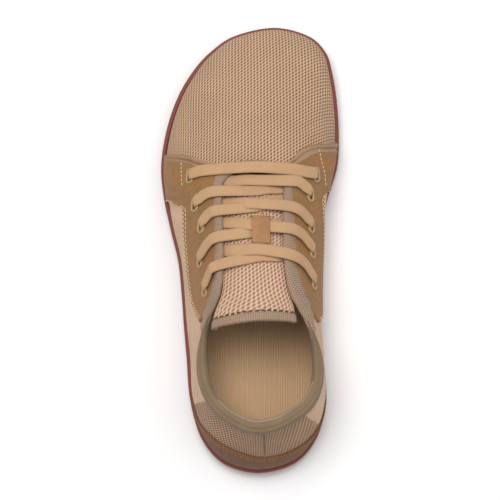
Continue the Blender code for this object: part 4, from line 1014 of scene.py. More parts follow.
def weld(piece, distance):
    """Join the points of a piece that lie together."""
    select_only(piece)
    bpy.ops.object.mode_set(mode="EDIT")
    bpy.ops.mesh.select_all(action="SELECT")
    bpy.ops.mesh.remove_doubles(threshold=distance)
    bpy.ops.mesh.select_all(action="DESELECT")
    bpy.ops.object.mode_set(mode="OBJECT")


def fill_ends(piece):
    """Close every open end of a piece and turn its faces outwards."""
    select_only(piece)
    bpy.ops.object.mode_set(mode="EDIT")
    bpy.ops.mesh.select_all(action="SELECT")
    bpy.ops.mesh.fill_holes(sides=0)
    bpy.ops.mesh.select_all(action="SELECT")
    bpy.ops.mesh.normals_make_consistent(inside=False)
    bpy.ops.mesh.select_all(action="DESELECT")
    bpy.ops.object.mode_set(mode="OBJECT")
    return piece


def keep(piece, slot, *nodes):
    """Let a piece ride on the shoe and let it stand for its solids; slot is not used."""
    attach(piece, "root")
    if nodes:
        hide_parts(*nodes)
    return piece


def arc_lengths(line):
    """Distance along a line of points at each point."""
    return np.concatenate([[0], np.cumsum(np.linalg.norm(np.diff(line, axis=0), axis=1))])


def sole_heights(x, y):
    """Height of the tread over the ground and its relief, 0 in the grooves and 1 on top."""
    points = np.column_stack([x, y])
    field = field_outline()
    inner = signed_distance(points, field)
    lattice, centre_away, turn = lug_distance(x, y)
    lug = smooth_step(lattice / LUG_SOFTNESS + 0.5)
    in_field = smooth_step(inner / LUG_SOFTNESS + 0.5)
    relief = 1 - in_field * (1 - lug)
    border = smooth_step(signed_distance(points, border_line(BORDER_WIDTH)) / WAVE_SOFTNESS + 0.5)
    for wave, count, first, width in TREAD_WAVES:
        for number in range(count):
            away = np.abs(y - wave_along(wave, x, number + first)) / math.sqrt(1 + wave.slope ** 2)
            groove = smooth_step((width / 2 - away) / WAVE_SOFTNESS + 0.5) * border
            relief = np.minimum(relief, 1 - groove * (1 - in_field))
    apothem = (LUG_PITCH - LUG_GROOVE) / 2
    on_lug = in_field * lug
    line = smooth_step(1 - np.abs(centre_away - 0.60 * apothem) / ENGRAVED_LINE)
    arms = np.abs(np.sin(1.5 * (turn - math.pi / 6))) * centre_away
    mark = smooth_step(1 - arms / ENGRAVED_ARM) * (centre_away < 0.42 * apothem)
    engraved = on_lug * np.maximum(line, mark)
    depth = TREAD_DEPTH * (1 - relief) + ENGRAVED_DEPTH * engraved
    # The relief also darkens the grooves and the engraved marks in the colour: painted shade
    return spring(y) + depth, np.clip(relief - 0.55 * engraved, 0, 1)


def wave_along(wave, across, number=0.0):
    """The Y of a waved groove over the given X, for the groove of that number."""
    shift_x = number * wave.step_across * HALF_WIDTH
    shift_y = number * wave.step_along * HALF_LENGTH
    from_crest = across - wave.crest_across * HALF_WIDTH - shift_x
    turns = from_crest / (wave.period * HALF_WIDTH)
    line = wave.crest_along * HALF_LENGTH + shift_y + wave.slope * from_crest
    return line + wave.height * (np.cos(2 * math.pi * turns) - 1)


def field_outline():
    """Border of the lug field: smooth bands at the sides, waves at the toe and heel."""
    sections = np.array([band.section for band in FIELD_BANDS])
    places = np.arange(sections[0], sections[-1] + 0.01, 0.25)
    sides = []
    for medial in (False, True):
        side = [band.medial if medial else band.lateral for band in FIELD_BANDS]
        widths = np.interp(places, sections, side)
        stations = STATIONS - places if medial else places
        edge = outline(stations, widths * HALF_WIDTH)
        kept = ((edge[:, 1] > wave_along(HEEL_WAVE, edge[:, 0]))
                & (edge[:, 1] < wave_along(TOE_WAVE, edge[:, 0])))
        sides.append(edge[kept])
    lateral, medial = sides
    step = TOE_WAVE.period * HALF_WIDTH / 16
    front = np.arange(lateral[-1, 0] + step / 2, medial[-1, 0] - step / 2, step)
    back = np.arange(medial[0, 0] - step / 2, lateral[0, 0] + step / 2, -step)
    return np.vstack([
        lateral, np.column_stack([front, wave_along(TOE_WAVE, front)]),
        medial[::-1], np.column_stack([back, wave_along(HEEL_WAVE, back)]),
    ])


def signed_distance(points, border):
    """Distance to a closed outline, positive inside it."""
    away = np.full(len(points), np.inf)
    within = np.zeros(len(points), bool)
    x, y = points[:, 0], points[:, 1]
    for start, end in zip(border, np.roll(border, -1, axis=0)):
        run = end - start
        share = np.clip((points - start) @ run / (run @ run + 1e-18), 0, 1)
        away = np.minimum(away, np.hypot(x - start[0] - share * run[0], y - start[1] - share * run[1]))
        crosses = (start[1] > y) != (end[1] > y)
        within ^= crosses & (x < run[0] * (y - start[1]) / (run[1] + 1e-12) + start[0])
    return np.where(within, away, -away)


def lug_distance(x, y):
    """Distance inside the nearest lug's edge, hexagonal distance from its centre, and direction round it."""
    u, v = x + 0.058 * HALF_WIDTH, y - 0.012 * HALF_LENGTH
    c, s = math.cos(TREAD_TURN), math.sin(TREAD_TURN)
    across, along = c * u + s * v, c * v - s * u
    column = LUG_PITCH * math.sqrt(3) / 2
    best = np.full(len(x), np.inf)
    place = np.zeros((len(x), 2))
    for shift in (-1, 0, 1):
        i = np.rint(across / column) + shift
        k = np.rint(along / LUG_PITCH - 0.5 * (i % 2))
        cx, cy = i * column, (k + 0.5 * (i % 2)) * LUG_PITCH
        away = np.hypot(across - cx, along - cy)
        nearer = away < best
        best = np.where(nearer, away, best)
        place[nearer] = np.column_stack([across - cx, along - cy])[nearer]
    turns = np.arange(3) * math.pi / 3 + math.pi / 6
    hexagonal = np.max(np.abs(place[:, :1] * np.cos(turns) + place[:, 1:] * np.sin(turns)), axis=1)
    return (LUG_PITCH - LUG_GROOVE) / 2 - hexagonal, hexagonal, np.arctan2(place[:, 1], place[:, 0])


class SHOE_OT_sole(bpy.types.Operator):
    """Rubber cup sole with its lugs, waves, side wall and rim"""
    bl_idname = "shoe.sole"
    bl_label = "Sole"

    def execute(self, context):
        plan = plan_grid(TREAD_ROWS, TREAD_COLUMNS, EDGE_ROUND)
        x, y = plan[..., 0].ravel(), plan[..., 1].ravel()
        height, relief = sole_heights(x, y)
        tread = np.column_stack([x, y, height]).reshape(plan.shape[:2] + (3,))
        piece = sheet_piece("outsole_rubber", tread, plan, ["sole_rubber"],
                            relief=relief.reshape(plan.shape[:2]))
        station = np.linspace(0, STATIONS, 2 * TREAD_ROWS + 1)
        rim, ground = periodic_curve(LAST, station)[:, 2], spring(outline(station, EDGE_ROUND)[:, 1])
        profile = []
        for turn in np.linspace(0, math.pi / 2, 6):
            profile.append((EDGE_ROUND * (1 - math.sin(turn)), ground + EDGE_ROUND * (1 - math.cos(turn))))
        wall_top = rim - RIM_PROFILE[0][1]
        for part, groove in SIDE_PROFILE:
            profile.append((groove, ground + EDGE_ROUND + (wall_top - ground - EDGE_ROUND) * part))
        profile += [(inset, rim - drop) for inset, drop in RIM_PROFILE]
        profile.append((SOLE_WALL, floor_height(outline(station, SOLE_WALL)[:, 1])))
        rings = np.array([np.column_stack([outline(station, inset), level]) for inset, level in profile])
        rings = rings.transpose(1, 0, 2)[::-1]
        cup = sheet_piece("sole_cup", rings, rings[..., :2], ["sole_rubber"], closed=True,
                          relief=np.full(rings.shape[:2], WALL_RELIEF))
        bpy.ops.object.select_all(action="DESELECT")
        cup.select_set(True)
        piece.select_set(True)
        context.view_layer.objects.active = piece
        bpy.ops.object.join()
        weld(piece, 1e-5)
        fill_ends(piece)
        piece.data.set_sharp_from_angle(angle=math.radians(50))
        keep(piece, "outsole_rubber", "outsole")
        return {"FINISHED"}


class SHOE_OT_insole(bpy.types.Operator):
    """Ribbed cloth footbed with a slightly raised edge"""
    bl_idname = "shoe.insole"
    bl_label = "Insole"

    def execute(self, context):
        inset = SOLE_WALL + UPPER_WALL + 3 * CLEARANCE
        plan = plan_grid(INSOLE_ROWS, INSOLE_COLUMNS, inset)
        flat = plan.reshape(-1, 2)
        border = signed_distance(flat, border_line(inset))
        rise = (INSOLE_LIP * smooth_step(1 - border / INSOLE_LIP_WIDTH)
                + INSOLE_WAVE * np.sin(flat[:, 1] / INSOLE_WAVE_REACH))
        height = floor_height(flat[:, 1]) + INSOLE_LEVEL + rise
        top = np.column_stack([flat, height]).reshape(plan.shape[:2] + (3,))
        piece = sheet_piece("insole_cloth", top[::-1], plan[::-1], ["insole_ribbed_cloth"], closed=True)
        apply_modifier(piece, "SOLIDIFY", thickness=INSOLE_THICKNESS, offset=-1)
        keep(piece, "insole_cloth", "insole")
        return {"FINISHED"}


class SHOE_OT_upper(bpy.types.Operator):
    """Lasted upper: mesh vamp, plain side panels, mesh heel and a cloth lining"""
    bl_idname = "shoe.upper"
    bl_label = "Upper"

    def execute(self, context):
        station = np.linspace(0, STATIONS, UPPER_COLUMNS)
        up = np.concatenate([np.linspace(-1, 0, 4)[:-1], np.linspace(0, 1, UPPER_ROWS)])
        grid_station, grid_up = np.meshgrid(station, up, indexing="ij")
        points = upper(grid_station, grid_up)
        flat = unrolled(grid_station, grid_up)
        piece = sheet_piece("upper_shell", points[::-1], flat[::-1],
                            ["mesh_knit", "side_panel_cloth", "heel_knit", "lit_lining_cloth"], closed=True)
        mesh = piece.data
        slots = [eyelet_frame(*place) for place in EYELETS_LATERAL + EYELETS_MEDIAL]
        centre = face_centres(mesh)
        along_share = centre[:, 1] / HALF_LENGTH
        vamp = along_share > np.interp(centre[:, 0] / HALF_WIDTH, *zip(*VAMP_SEAM))
        heel = along_share < np.interp(centre[:, 0] / HALF_WIDTH, *zip(*HEEL_SEAM))
        index = np.where(vamp, 0, np.where(heel, 2, 1)).astype(np.int32)
        mesh.polygons.foreach_set("material_index", index)
        cut_slots(piece, centre, slots)
        # The inside of the upper takes the paler lining cloth, painted light as on the collar's lit inner side
        apply_modifier(piece, "SOLIDIFY", thickness=UPPER_WALL, offset=-1, material_offset=3,
                       material_offset_rim=3)
        keep(piece, "upper_knit", "upper")
        return {"FINISHED"}


def face_centres(mesh):
    """Centre of every face of a mesh."""
    centre = np.empty(len(mesh.polygons) * 3)
    mesh.polygons.foreach_get("center", centre)
    return centre.reshape(-1, 3)


def cut_slots(piece, centre, slots):
    """Take out the faces that lie in an eyelet's slot; the eyelet's ring covers the cut."""
    half_length = sizes().eyelet_length / 2 - 1.5 * EYELET_TUBE
    half_width = sizes().eyelet_width / 2 - 1.5 * EYELET_TUBE
    inside = np.zeros(len(centre), bool)
    for place, long_way, cross_way, normal in slots:
        away = centre - place
        a, b, c = away @ long_way, away @ cross_way, away @ normal
        inside |= (np.abs(a) < half_length) & (np.abs(b) < half_width) & (np.abs(c) < SLOT_DEPTH)
    work = bmesh.new()
    work.from_mesh(piece.data)
    work.faces.ensure_lookup_table()
    bmesh.ops.delete(work, geom=[work.faces[int(i)] for i in np.flatnonzero(inside)], context="FACES")
    work.to_mesh(piece.data)
    work.free()


def seam_rows(seams, mirrored):
    """An overlay's seams as numbers, for the lateral side or mirrored to the medial side."""
    rows = np.array([tuple(seam) for seam in seams])
    return rows * (-1, 1, -1, 1) + (STATIONS, 0, STATIONS, 0) if mirrored else rows


def overlay_piece(name, seams, thickness, finishes, mirrored=False, slots=(), steps=(180, 30), fold=0.0):
    """Piece sewn on the upper, thinning to a rounded edge; fold is the depth of a groove along its middle."""
    rows = seam_rows(seams, mirrored)
    along, over = np.linspace(0, 1, steps[0] + 1), np.linspace(0, 1, steps[1] + 1)
    places = open_curve(rows, along * (len(rows) - 1))
    station = places[:, 0:1] * (1 - over) + places[:, 2:3] * over
    up = places[:, 1:2] * (1 - over) + places[:, 3:4] * over
    base = upper(station, up)
    reach = np.linalg.norm(base[:, -1] - base[:, 0], axis=1)[:, None]
    length = arc_lengths(base[:, len(over) // 2])[:, None]
    edge = np.minimum(np.minimum(over * reach, (1 - over) * reach), np.minimum(length, length[-1] - length))
    lift = 0.0001 + thickness * rounded(edge / OVERLAY_EDGE)
    lift = lift - fold * np.exp(-((over - 0.48) / 0.11) ** 2) * np.minimum(1, lift / thickness)
    points = upper(station, up, lift)
    flat = np.stack([np.broadcast_to(length, station.shape), over * reach], axis=-1)
    piece = sheet_piece(name, points, flat, finishes)
    centre = face_centres(piece.data)
    middle = (steps[0] // 2, steps[1] // 2)
    middle_station, middle_up = station[middle], up[middle]
    out = normal_at(middle_station, middle_up)
    nearest = np.argmin(np.linalg.norm(centre - upper(middle_station, middle_up), axis=1))
    if np.array(piece.data.polygons[int(nearest)].normal) @ out < 0:
        piece.data.flip_normals()
    if slots:
        cut_slots(piece, centre, slots)
    apply_modifier(piece, "SOLIDIFY", thickness=OVERLAY_SINK, offset=-1)
    return piece


class SHOE_OT_overlays(bpy.types.Operator):
    """Suede eyestays with their wings, padded toe strips and heel counter"""
    bl_idname = "shoe.overlays"
    bl_label = "Overlays"

    def execute(self, context):
        thick, strip = sizes().overlay_thickness, sizes().strip_thickness
        for side, seams, strips, eyelets in (
            ("lateral", EYESTAY_LATERAL, EDGE_STRIP_LATERAL, EYELETS_LATERAL),
            ("medial", EYESTAY_MEDIAL, EDGE_STRIP_MEDIAL, EYELETS_MEDIAL),
        ):
            mirrored = side == "medial"
            slots = [eyelet_frame(*place) for place in eyelets]
            eyestay = overlay_piece(f"eyestay_suede_{side}", seams, thick, ["brushed_suede"], mirrored, slots,
                                    steps=(240, 44))
            keep(eyestay, "suede", f"eyestay_{side}")
            toe_strip = overlay_piece(f"toe_strip_{side}", strips, strip, ["strip_cloth"], mirrored,
                                      steps=(120, 24), fold=STRIP_GROOVE)
            keep(toe_strip, "taupe_lining", f"edge_strip_{side}")
        counter = overlay_piece("heel_counter_suede", HEEL_COUNTER, thick, ["counter_suede"], steps=(200, 24))
        keep(counter, "suede", "heel_counter")
        return {"FINISHED"}


def flat_grid(along, around):
    """Flat coordinates of a roll or ribbon from the distances along it and around it."""
    return np.stack(np.broadcast_arrays(along[:, None], around[None]), axis=-1)


class SHOE_OT_throat_edging(bpy.types.Operator):
    """Taupe mesh edging that binds the throat"""
    bl_idname = "shoe.throat_edging"
    bl_label = "Throat edging"

    def execute(self, context):
        station = np.linspace(EDGING_END, STATIONS - EDGING_END, 361)
        section = np.minimum(station, STATIONS - station)
        outer = np.interp(section, *zip(*EDGING_WIDTHS))
        shares, lifts = np.array(EDGING_PROFILE).T
        ups = 1 - (1 - outer[:, None]) * (1 - shares)
        ups = np.where(shares > 1, 1 + (shares - 1) * 0.07, ups)
        pucker = EDGING_PUCKER * np.sin(station[:, None] * 14.0)
        thin = np.clip((1 - outer[:, None]) / 0.08, 0.25, 1.0)
        points = upper(np.broadcast_to(station[:, None], ups.shape), ups, lifts / 1000 * thin + pucker)
        points = np.concatenate([points, points[:, :1]], axis=1)
        flat = flat_grid(arc_lengths(points[:, 0]), arc_lengths(points[len(points) // 2]))
        piece = fill_ends(sheet_piece("throat_edging_mesh", points, flat, ["edging_mesh"], closed=True))
        keep(piece, "taupe_lining", "throat_binding")
        return {"FINISHED"}


class SHOE_OT_collar(bpy.types.Operator):
    """Padded collar roll round the ankle, with its lining inside"""
    bl_idname = "shoe.collar"
    bl_label = "Collar"

    def execute(self, context):
        station = np.linspace(-COLLAR_END, COLLAR_END, 241)
        edge = upper(station, 1.0)
        top = np.ones_like(station)
        out = wall_normals(station, top)
        rise = unit(upper(station, 1.02 * top) - edge)
        slim = 1 - 0.95 * smooth_step((np.abs(station) - 5.0) / 2.4)
        heel = 0.35 * np.exp(-(station / 2.6) ** 2)
        crest = COLLAR_TIP + COLLAR_CREST * slim
        turns = 2 * math.pi * arc_lengths(edge)
        wrinkle = 0.00022 * np.sin(turns / 0.019) + 0.00012 * np.sin(turns / 0.0083 + 1)
        rings = []
        for a, b in COLLAR_PROFILE:
            reach = a * crest * (1 + heel * (a < -0.4)) + wrinkle * (a < -0.2)
            rings.append(edge + out * reach[:, None] + rise * (b * crest)[:, None])
        for deep, pad in COLLAR_PADDING:
            depth = UPPER_WALL + CLEARANCE + pad * slim * (1 + heel) + 0.0004 + wrinkle
            rings.append(upper(station, deep, -depth))
        for deep in COLLAR_BACK:
            rings.append(upper(station, deep, -(UPPER_WALL + 0.5 * CLEARANCE)))
        points = np.array(rings + rings[:1]).transpose(1, 0, 2)
        inner = COLLAR_INNER_ROWS
        for _ in range(COLLAR_SMOOTHING):
            points[1:-1, inner] = (points[:-2, inner] + 2 * points[1:-1, inner] + points[2:, inner]) / 4
        flat = flat_grid(arc_lengths(points[:, 5]), arc_lengths(points[len(points) // 2]))
        finishes = ["collar_cloth", "lit_lining_cloth"]
        piece = fill_ends(sheet_piece("collar_pad", points, flat, finishes, closed=True))
        centre = face_centres(piece.data)
        near = np.argmin(np.linalg.norm(centre[:, None, :2] - edge[None, :, :2], axis=2), axis=1)
        inward = -np.einsum("nx,nx->n", centre - edge[near], out[near])
        # The faces inside the roll take the paler lining: painted light on the collar's lit inner side
        lining = (inward > 0.9 * crest[near]) & (centre[:, 2] < edge[near, 2] + 0.55 * crest[near])
        piece.data.polygons.foreach_set("material_index", lining.astype(np.int32))
        keep(piece, "taupe_lining", "collar")
        return {"FINISHED"}


class SHOE_OT_tongue(bpy.types.Operator):
    """Padded mesh tongue with a bound free edge"""
    bl_idname = "shoe.tongue"
    bl_label = "Tongue"

    def execute(self, context):
        pitch = tongue_pitch()
        seam = TONGUE_TAPE / pitch
        last = len(TONGUE_ROWS) - 1
        for name, start, end, swell, finishes, slot, solid, steps in (
            ("tongue_pad", seam, last, 0.0, ["tongue_knit"], "upper_knit", "tongue", 120),
            ("tongue_tape", 0.0, seam + 0.04, TAPE_SWELL, ["edging_mesh"], "taupe_lining", "tongue_binding",
             16),
        ):
            rows = np.linspace(start, end, steps + 1)
            across = np.linspace(0, 1, 61)
            grid_row, grid_across = np.meshgrid(rows, across, indexing="ij")
            side = np.minimum(across, 1 - across) / 0.03
            ends = (np.minimum(rows - start, end - rows)[:, None]) * pitch / TONGUE_ROUND
            round_off = rounded(np.minimum(side[None], ends + 0.35))
            thick = TONGUE_THICKNESS + 2 * swell
            top = tongue(grid_row, grid_across, swell - thick / 2 * (1 - round_off))
            under = tongue(grid_row, grid_across, swell - thick + thick / 2 * (1 - round_off))
            points = np.concatenate([top, under[:, ::-1], top[:, :1]], axis=1)
            along = np.linalg.norm(tongue(rows, 0.5) - tongue(0.0, 0.5), axis=1)[:, None]
            width = arc_lengths(top[len(top) // 2])
            around = np.concatenate([width, width[::-1], width[:1]])[None]
            flat = np.stack(np.broadcast_arrays(around, along), axis=-1)
            piece = fill_ends(sheet_piece(name, points, flat, finishes, closed=True))
            keep(piece, slot, solid)
        return {"FINISHED"}


def stadium(length, width, parts):
    """Outline with two straight sides and round ends, its length along the first axis."""
    radius = width / 2
    points = []
    for end in (1, -1):
        for k in range(parts):
            turn = math.pi * (k / (parts - 1) - 0.5)
            along = length / 2 - radius + radius * math.cos(turn)
            points.append((end * along, end * radius * math.sin(turn)))
    return np.array(points)


class SHOE_OT_eyelets(bpy.types.Operator):
    """Soft oblong ring round each lace slot"""
    bl_idname = "shoe.eyelets"
    bl_label = "Eyelets"

    def execute(self, context):
        length, width = sizes().eyelet_length, sizes().eyelet_width
        seat = sizes().overlay_thickness
        for side, places in (("lateral", EYELETS_LATERAL), ("medial", EYELETS_MEDIAL)):
            for number, (along, across) in enumerate(places, 1):
                centre, long_way, cross_way, normal = eyelet_frame(along, across)
                rings = []
                for turn in np.linspace(0, 2 * math.pi, 13):
                    out = EYELET_TUBE * math.cos(turn)
                    level = seat + EYELET_SEAT + EYELET_TUBE * math.sin(turn)
                    shape = stadium(length + 2 * (out - EYELET_TUBE), width + 2 * (out - EYELET_TUBE), 14)
                    shape = np.vstack([shape, shape[:1]])
                    rings.append(centre + shape[:, :1] * long_way + shape[:, 1:] * cross_way + level * normal)
                points = np.array(rings)
                flat = np.zeros(points.shape[:2] + (2,))
                ring = sheet_piece(f"eyelet_ring_{side}_{number}", points, flat, ["eyelet_plastic"],
                                   closed=True)
                keep(fill_ends(ring), "moulded_eyelet", f"eyelet_{side}_{number}")
        return {"FINISHED"}


def ribbon_piece(name, controls, normals, widths, thickness, steps, made_of):
    """Flat strap with rounded edges along a smooth line through its control points."""
    count = len(controls) - 1
    where = np.linspace(0, count, steps + 1)
    line, up = open_curve(controls, where), unit(open_curve(normals, where))
    for _ in range(3):
        line[1:-1] = 0.5 * line[1:-1] + 0.25 * (line[:-2] + line[2:])
    width = open_curve(np.reshape(widths, (-1, 1)), where)[:, 0]
    run = unit(np.gradient(line, axis=0))
    side = unit(np.cross(run, up))
    up = np.cross(side, run)
    section = []
    for turn in np.linspace(0, 2 * math.pi, 21):
        c, s = math.cos(turn), math.sin(turn)
        section.append((math.copysign(abs(c) ** 0.45, c), math.copysign(abs(s) ** 0.8, s)))
    points = np.stack([line + side * (a * width / 2)[:, None] + up * (b * thickness / 2)
                       for a, b in section], axis=1)
    flat = flat_grid(arc_lengths(line), np.array(section)[:, 0] * RIBBON_HALF)
    return fill_ends(sheet_piece(name, points, flat, [made_of], closed=True))


def upper_stop(station, up, lift):
    """A control point over the upper and the direction that is up there."""
    return upper(station, up, lift), normal_at(station, up)


def lace_on_suede():
    """Height of the lace's middle over the upper where it lies on the suede."""
    return sizes().overlay_thickness + LACE_OVER_SUEDE + sizes().lace_thickness / 2


def eyelet_end(eyelet, before):
    """Last control points of a lace: before an eyelet's rim, on the rim, and down in its slot."""
    on_suede = lace_on_suede()
    centre, _, _, normal = eyelet_frame(*eyelet)
    away = centre - before
    away = unit(away - normal * (away @ normal))
    (before_rim, high), (on_rim, low), (past, deep) = *END_STOPS, END_DEPTH
    return [(centre + away * before_rim + normal * (on_suede + high), normal),
            (centre + away * on_rim + normal * (on_suede + low), unit(normal + away * 1.1)),
            (centre + away * past + normal * deep, unit(normal * 0.2 + away))]


def eyelet_stops(eyelet, throat_station):
    """Control points of a lace from the throat edge over an eyelet's rim and down through its slot."""
    station, up = find(*eyelet)
    on_suede = lace_on_suede()
    stops = [upper_stop((throat_station * 2 + station) / 3, (2 * 0.95 + up) / 3, on_suede + 0.0012),
             upper_stop((throat_station + 2 * station) / 3, (0.95 + 2 * up) / 3, on_suede + 0.0008)]
    return stops + eyelet_end(eyelet, stops[-1][0])


class SHOE_OT_laces(bpy.types.Operator):
    """Flat lace: a straight bar at the toe end and four crossings, run through the eyelets"""
    bl_idname = "shoe.laces"
    bl_label = "Laces"

    def execute(self, context):
        wide, thick = sizes().lace_width, sizes().lace_thickness
        level = BAR_LEVEL + thick / 2
        middle = [upper_stop(*find(*place, 12.0, 18.0), level) for place in BAR_PLAN]
        stops = (eyelet_end(EYELETS_LATERAL[0], middle[0][0])[::-1] + middle
                 + eyelet_end(EYELETS_MEDIAL[0], middle[-1][0]))
        widths = [*END_WIDTHS[::-1], *[1.0] * len(middle), *END_WIDTHS]
        piece = ribbon_piece("lace_bar_web", *map(np.array, zip(*stops)), np.array(widths) * wide, thick,
                             steps=120, made_of="woven_polyester_lace")
        keep(piece, "lace_webbing", "lace_bar")
        for number, row in enumerate(CROSSINGS, 1):
            for over in (False, True):
                start, cross, edge = row[:3] if over else row[3:]
                eyelet = (EYELETS_MEDIAL if over else EYELETS_LATERAL)[number]
                edge_station = STATIONS - edge if over else edge
                on_tongue = LACE_OVER_TONGUE + thick / 2
                mid = on_tongue + (LACE_STACK * thick if over else 0)
                hidden, near, centre = ACROSS_OVER if over else ACROSS_UNDER
                places = [(tongue_row(start), hidden, 0.0002), (tongue_row(start), near, on_tongue),
                          (tongue_row(0.6 * start + 0.4 * cross), (near + centre) / 2, (on_tongue + mid) / 2),
                          (tongue_row(cross), centre, mid)]
                stops = [(tongue(*place), tongue_normals(np.array([place[0]]), np.array([place[1]]))[0])
                         for place in places]
                stops.append(upper_stop(edge_station, 0.99, LACE_OVER_EDGE + thick / 2))
                stops += eyelet_stops(eyelet, edge_station)
                widths = [0.9, *[1.0] * (len(stops) - 1 - len(END_WIDTHS)), *END_WIDTHS]
                label = "over" if over else "under"
                piece = ribbon_piece(f"lace_{label}_{number}", *map(np.array, zip(*stops)),
                                     np.array(widths) * wide, thick, steps=90,
                                     made_of="woven_polyester_lace")
                keep(piece, "lace_webbing", f"lace_cross_{number}")
        return {"FINISHED"}


class SHOE_OT_keeper(bpy.types.Operator):
    """Leather keeper on the tongue that holds the third crossing"""
    bl_idname = "shoe.keeper"
    bl_label = "Keeper"

    def execute(self, context):
        thick = sizes().lace_thickness
        stack = LACE_OVER_TONGUE + (1 + LACE_STACK) * thick + KEEPER_SLACK
        row = np.array([tongue_row(section) for section in KEEPER_SECTIONS])
        across = np.full(len(row), KEEPER_ACROSS)
        lifts = np.array([KEEPER_LIFT, KEEPER_LIFT + 0.15 * stack, 0.85 * stack, stack, stack - 0.0003,
                          stack - 0.0012])
        controls = tongue(row, across, lifts)
        normals = tongue_normals(row, across)
        piece = ribbon_piece("keeper_loop", controls, normals, np.full(len(row), KEEPER_WIDTH),
                             KEEPER_THICKNESS, steps=40, made_of="smooth_tan_leather")
        keep(piece, "keeper_leather", "lace_keeper")
        return {"FINISHED"}


def stitch_row(line, normals, pitch, length, radius):
    """Short thread beads along a line, as points and faces of one mesh."""
    run = arc_lengths(line)
    places = np.arange(pitch / 2, run[-1], pitch)
    at = np.column_stack([np.interp(places, run, line[:, k]) for k in range(3)])
    ahead = np.column_stack([np.interp(places + pitch / 4, run, line[:, k]) for k in range(3)])
    up = unit(np.column_stack([np.interp(places, run, normals[:, k]) for k in range(3)]))
    way = unit(ahead - np.column_stack([np.interp(places - pitch / 4, run, line[:, k]) for k in range(3)]))
    side = np.cross(way, up)
    verts, faces = [], []
    for centre, w, s, u in zip(at, way, side, up):
        base = len(verts)
        for part, share, rise in STITCH_BEAD:
            for k in range(6):
                turn = math.pi * k / 3
                verts.append(centre + w * part * length + s * math.cos(turn) * radius * share
                             + u * radius * (math.sin(turn) * share + rise))
        for ring in range(4):
            for k in range(6):
                a, b = base + ring * 6 + k, base + ring * 6 + (k + 1) % 6
                faces.append((a, b, b + 6, a + 6))
        faces.append(tuple(base + k for k in reversed(range(6))))
        faces.append(tuple(base + 24 + k for k in range(6)))
    return verts, faces


def stitching_piece(name, rows, made_of, pitch, length, radius):
    """Piece of thread from several stitch rows."""
    verts, faces = [], []
    for line, normals in rows:
        more, mesh_faces = stitch_row(line, normals, pitch, length, radius)
        faces += [tuple(i + len(verts) for i in face) for face in mesh_faces]
        verts += more
    mesh = bpy.data.meshes.new(name)
    mesh.from_pydata([tuple(v) for v in verts], [], faces)
    piece = bpy.data.objects.new(name, mesh)
    bpy.context.scene.collection.objects.link(piece)
    mesh.materials.append(finish(made_of))
    select_only(piece)
    bpy.ops.object.mode_set(mode="EDIT")
    bpy.ops.mesh.select_all(action="SELECT")
    bpy.ops.mesh.normals_make_consistent(inside=False)
    bpy.ops.object.mode_set(mode="OBJECT")
    bpy.ops.object.shade_smooth()
    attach(piece, "root")
    return piece


def seam_line(seams, first, last, inset, lift, mirrored=False, inner=False):
    """A line beside an overlay's edge, between two of its rows, and the directions that are up there."""
    places = open_curve(seam_rows(seams, mirrored), np.linspace(first, last, 160))
    inner_side, outer_side = upper(places[:, 0], places[:, 1]), upper(places[:, 2], places[:, 3])
    reach = np.linalg.norm(outer_side - inner_side, axis=1)
    share = inset / np.maximum(reach, 1e-4)
    over = share if inner else 1 - share
    station = places[:, 0] * (1 - over) + places[:, 2] * over
    up = places[:, 1] * (1 - over) + places[:, 3] * over
    return upper(station, up, lift), wall_normals(station, up)


def surface_line(places, lift, mirrored=False):
    """A line on the upper through stations and ups, and the directions that are up there."""
    places = open_curve(np.array(places), np.linspace(0, len(places) - 1, 120))
    station = STATIONS - places[:, 0] if mirrored else places[:, 0]
    return upper(station, places[:, 1], lift), wall_normals(station, places[:, 1])


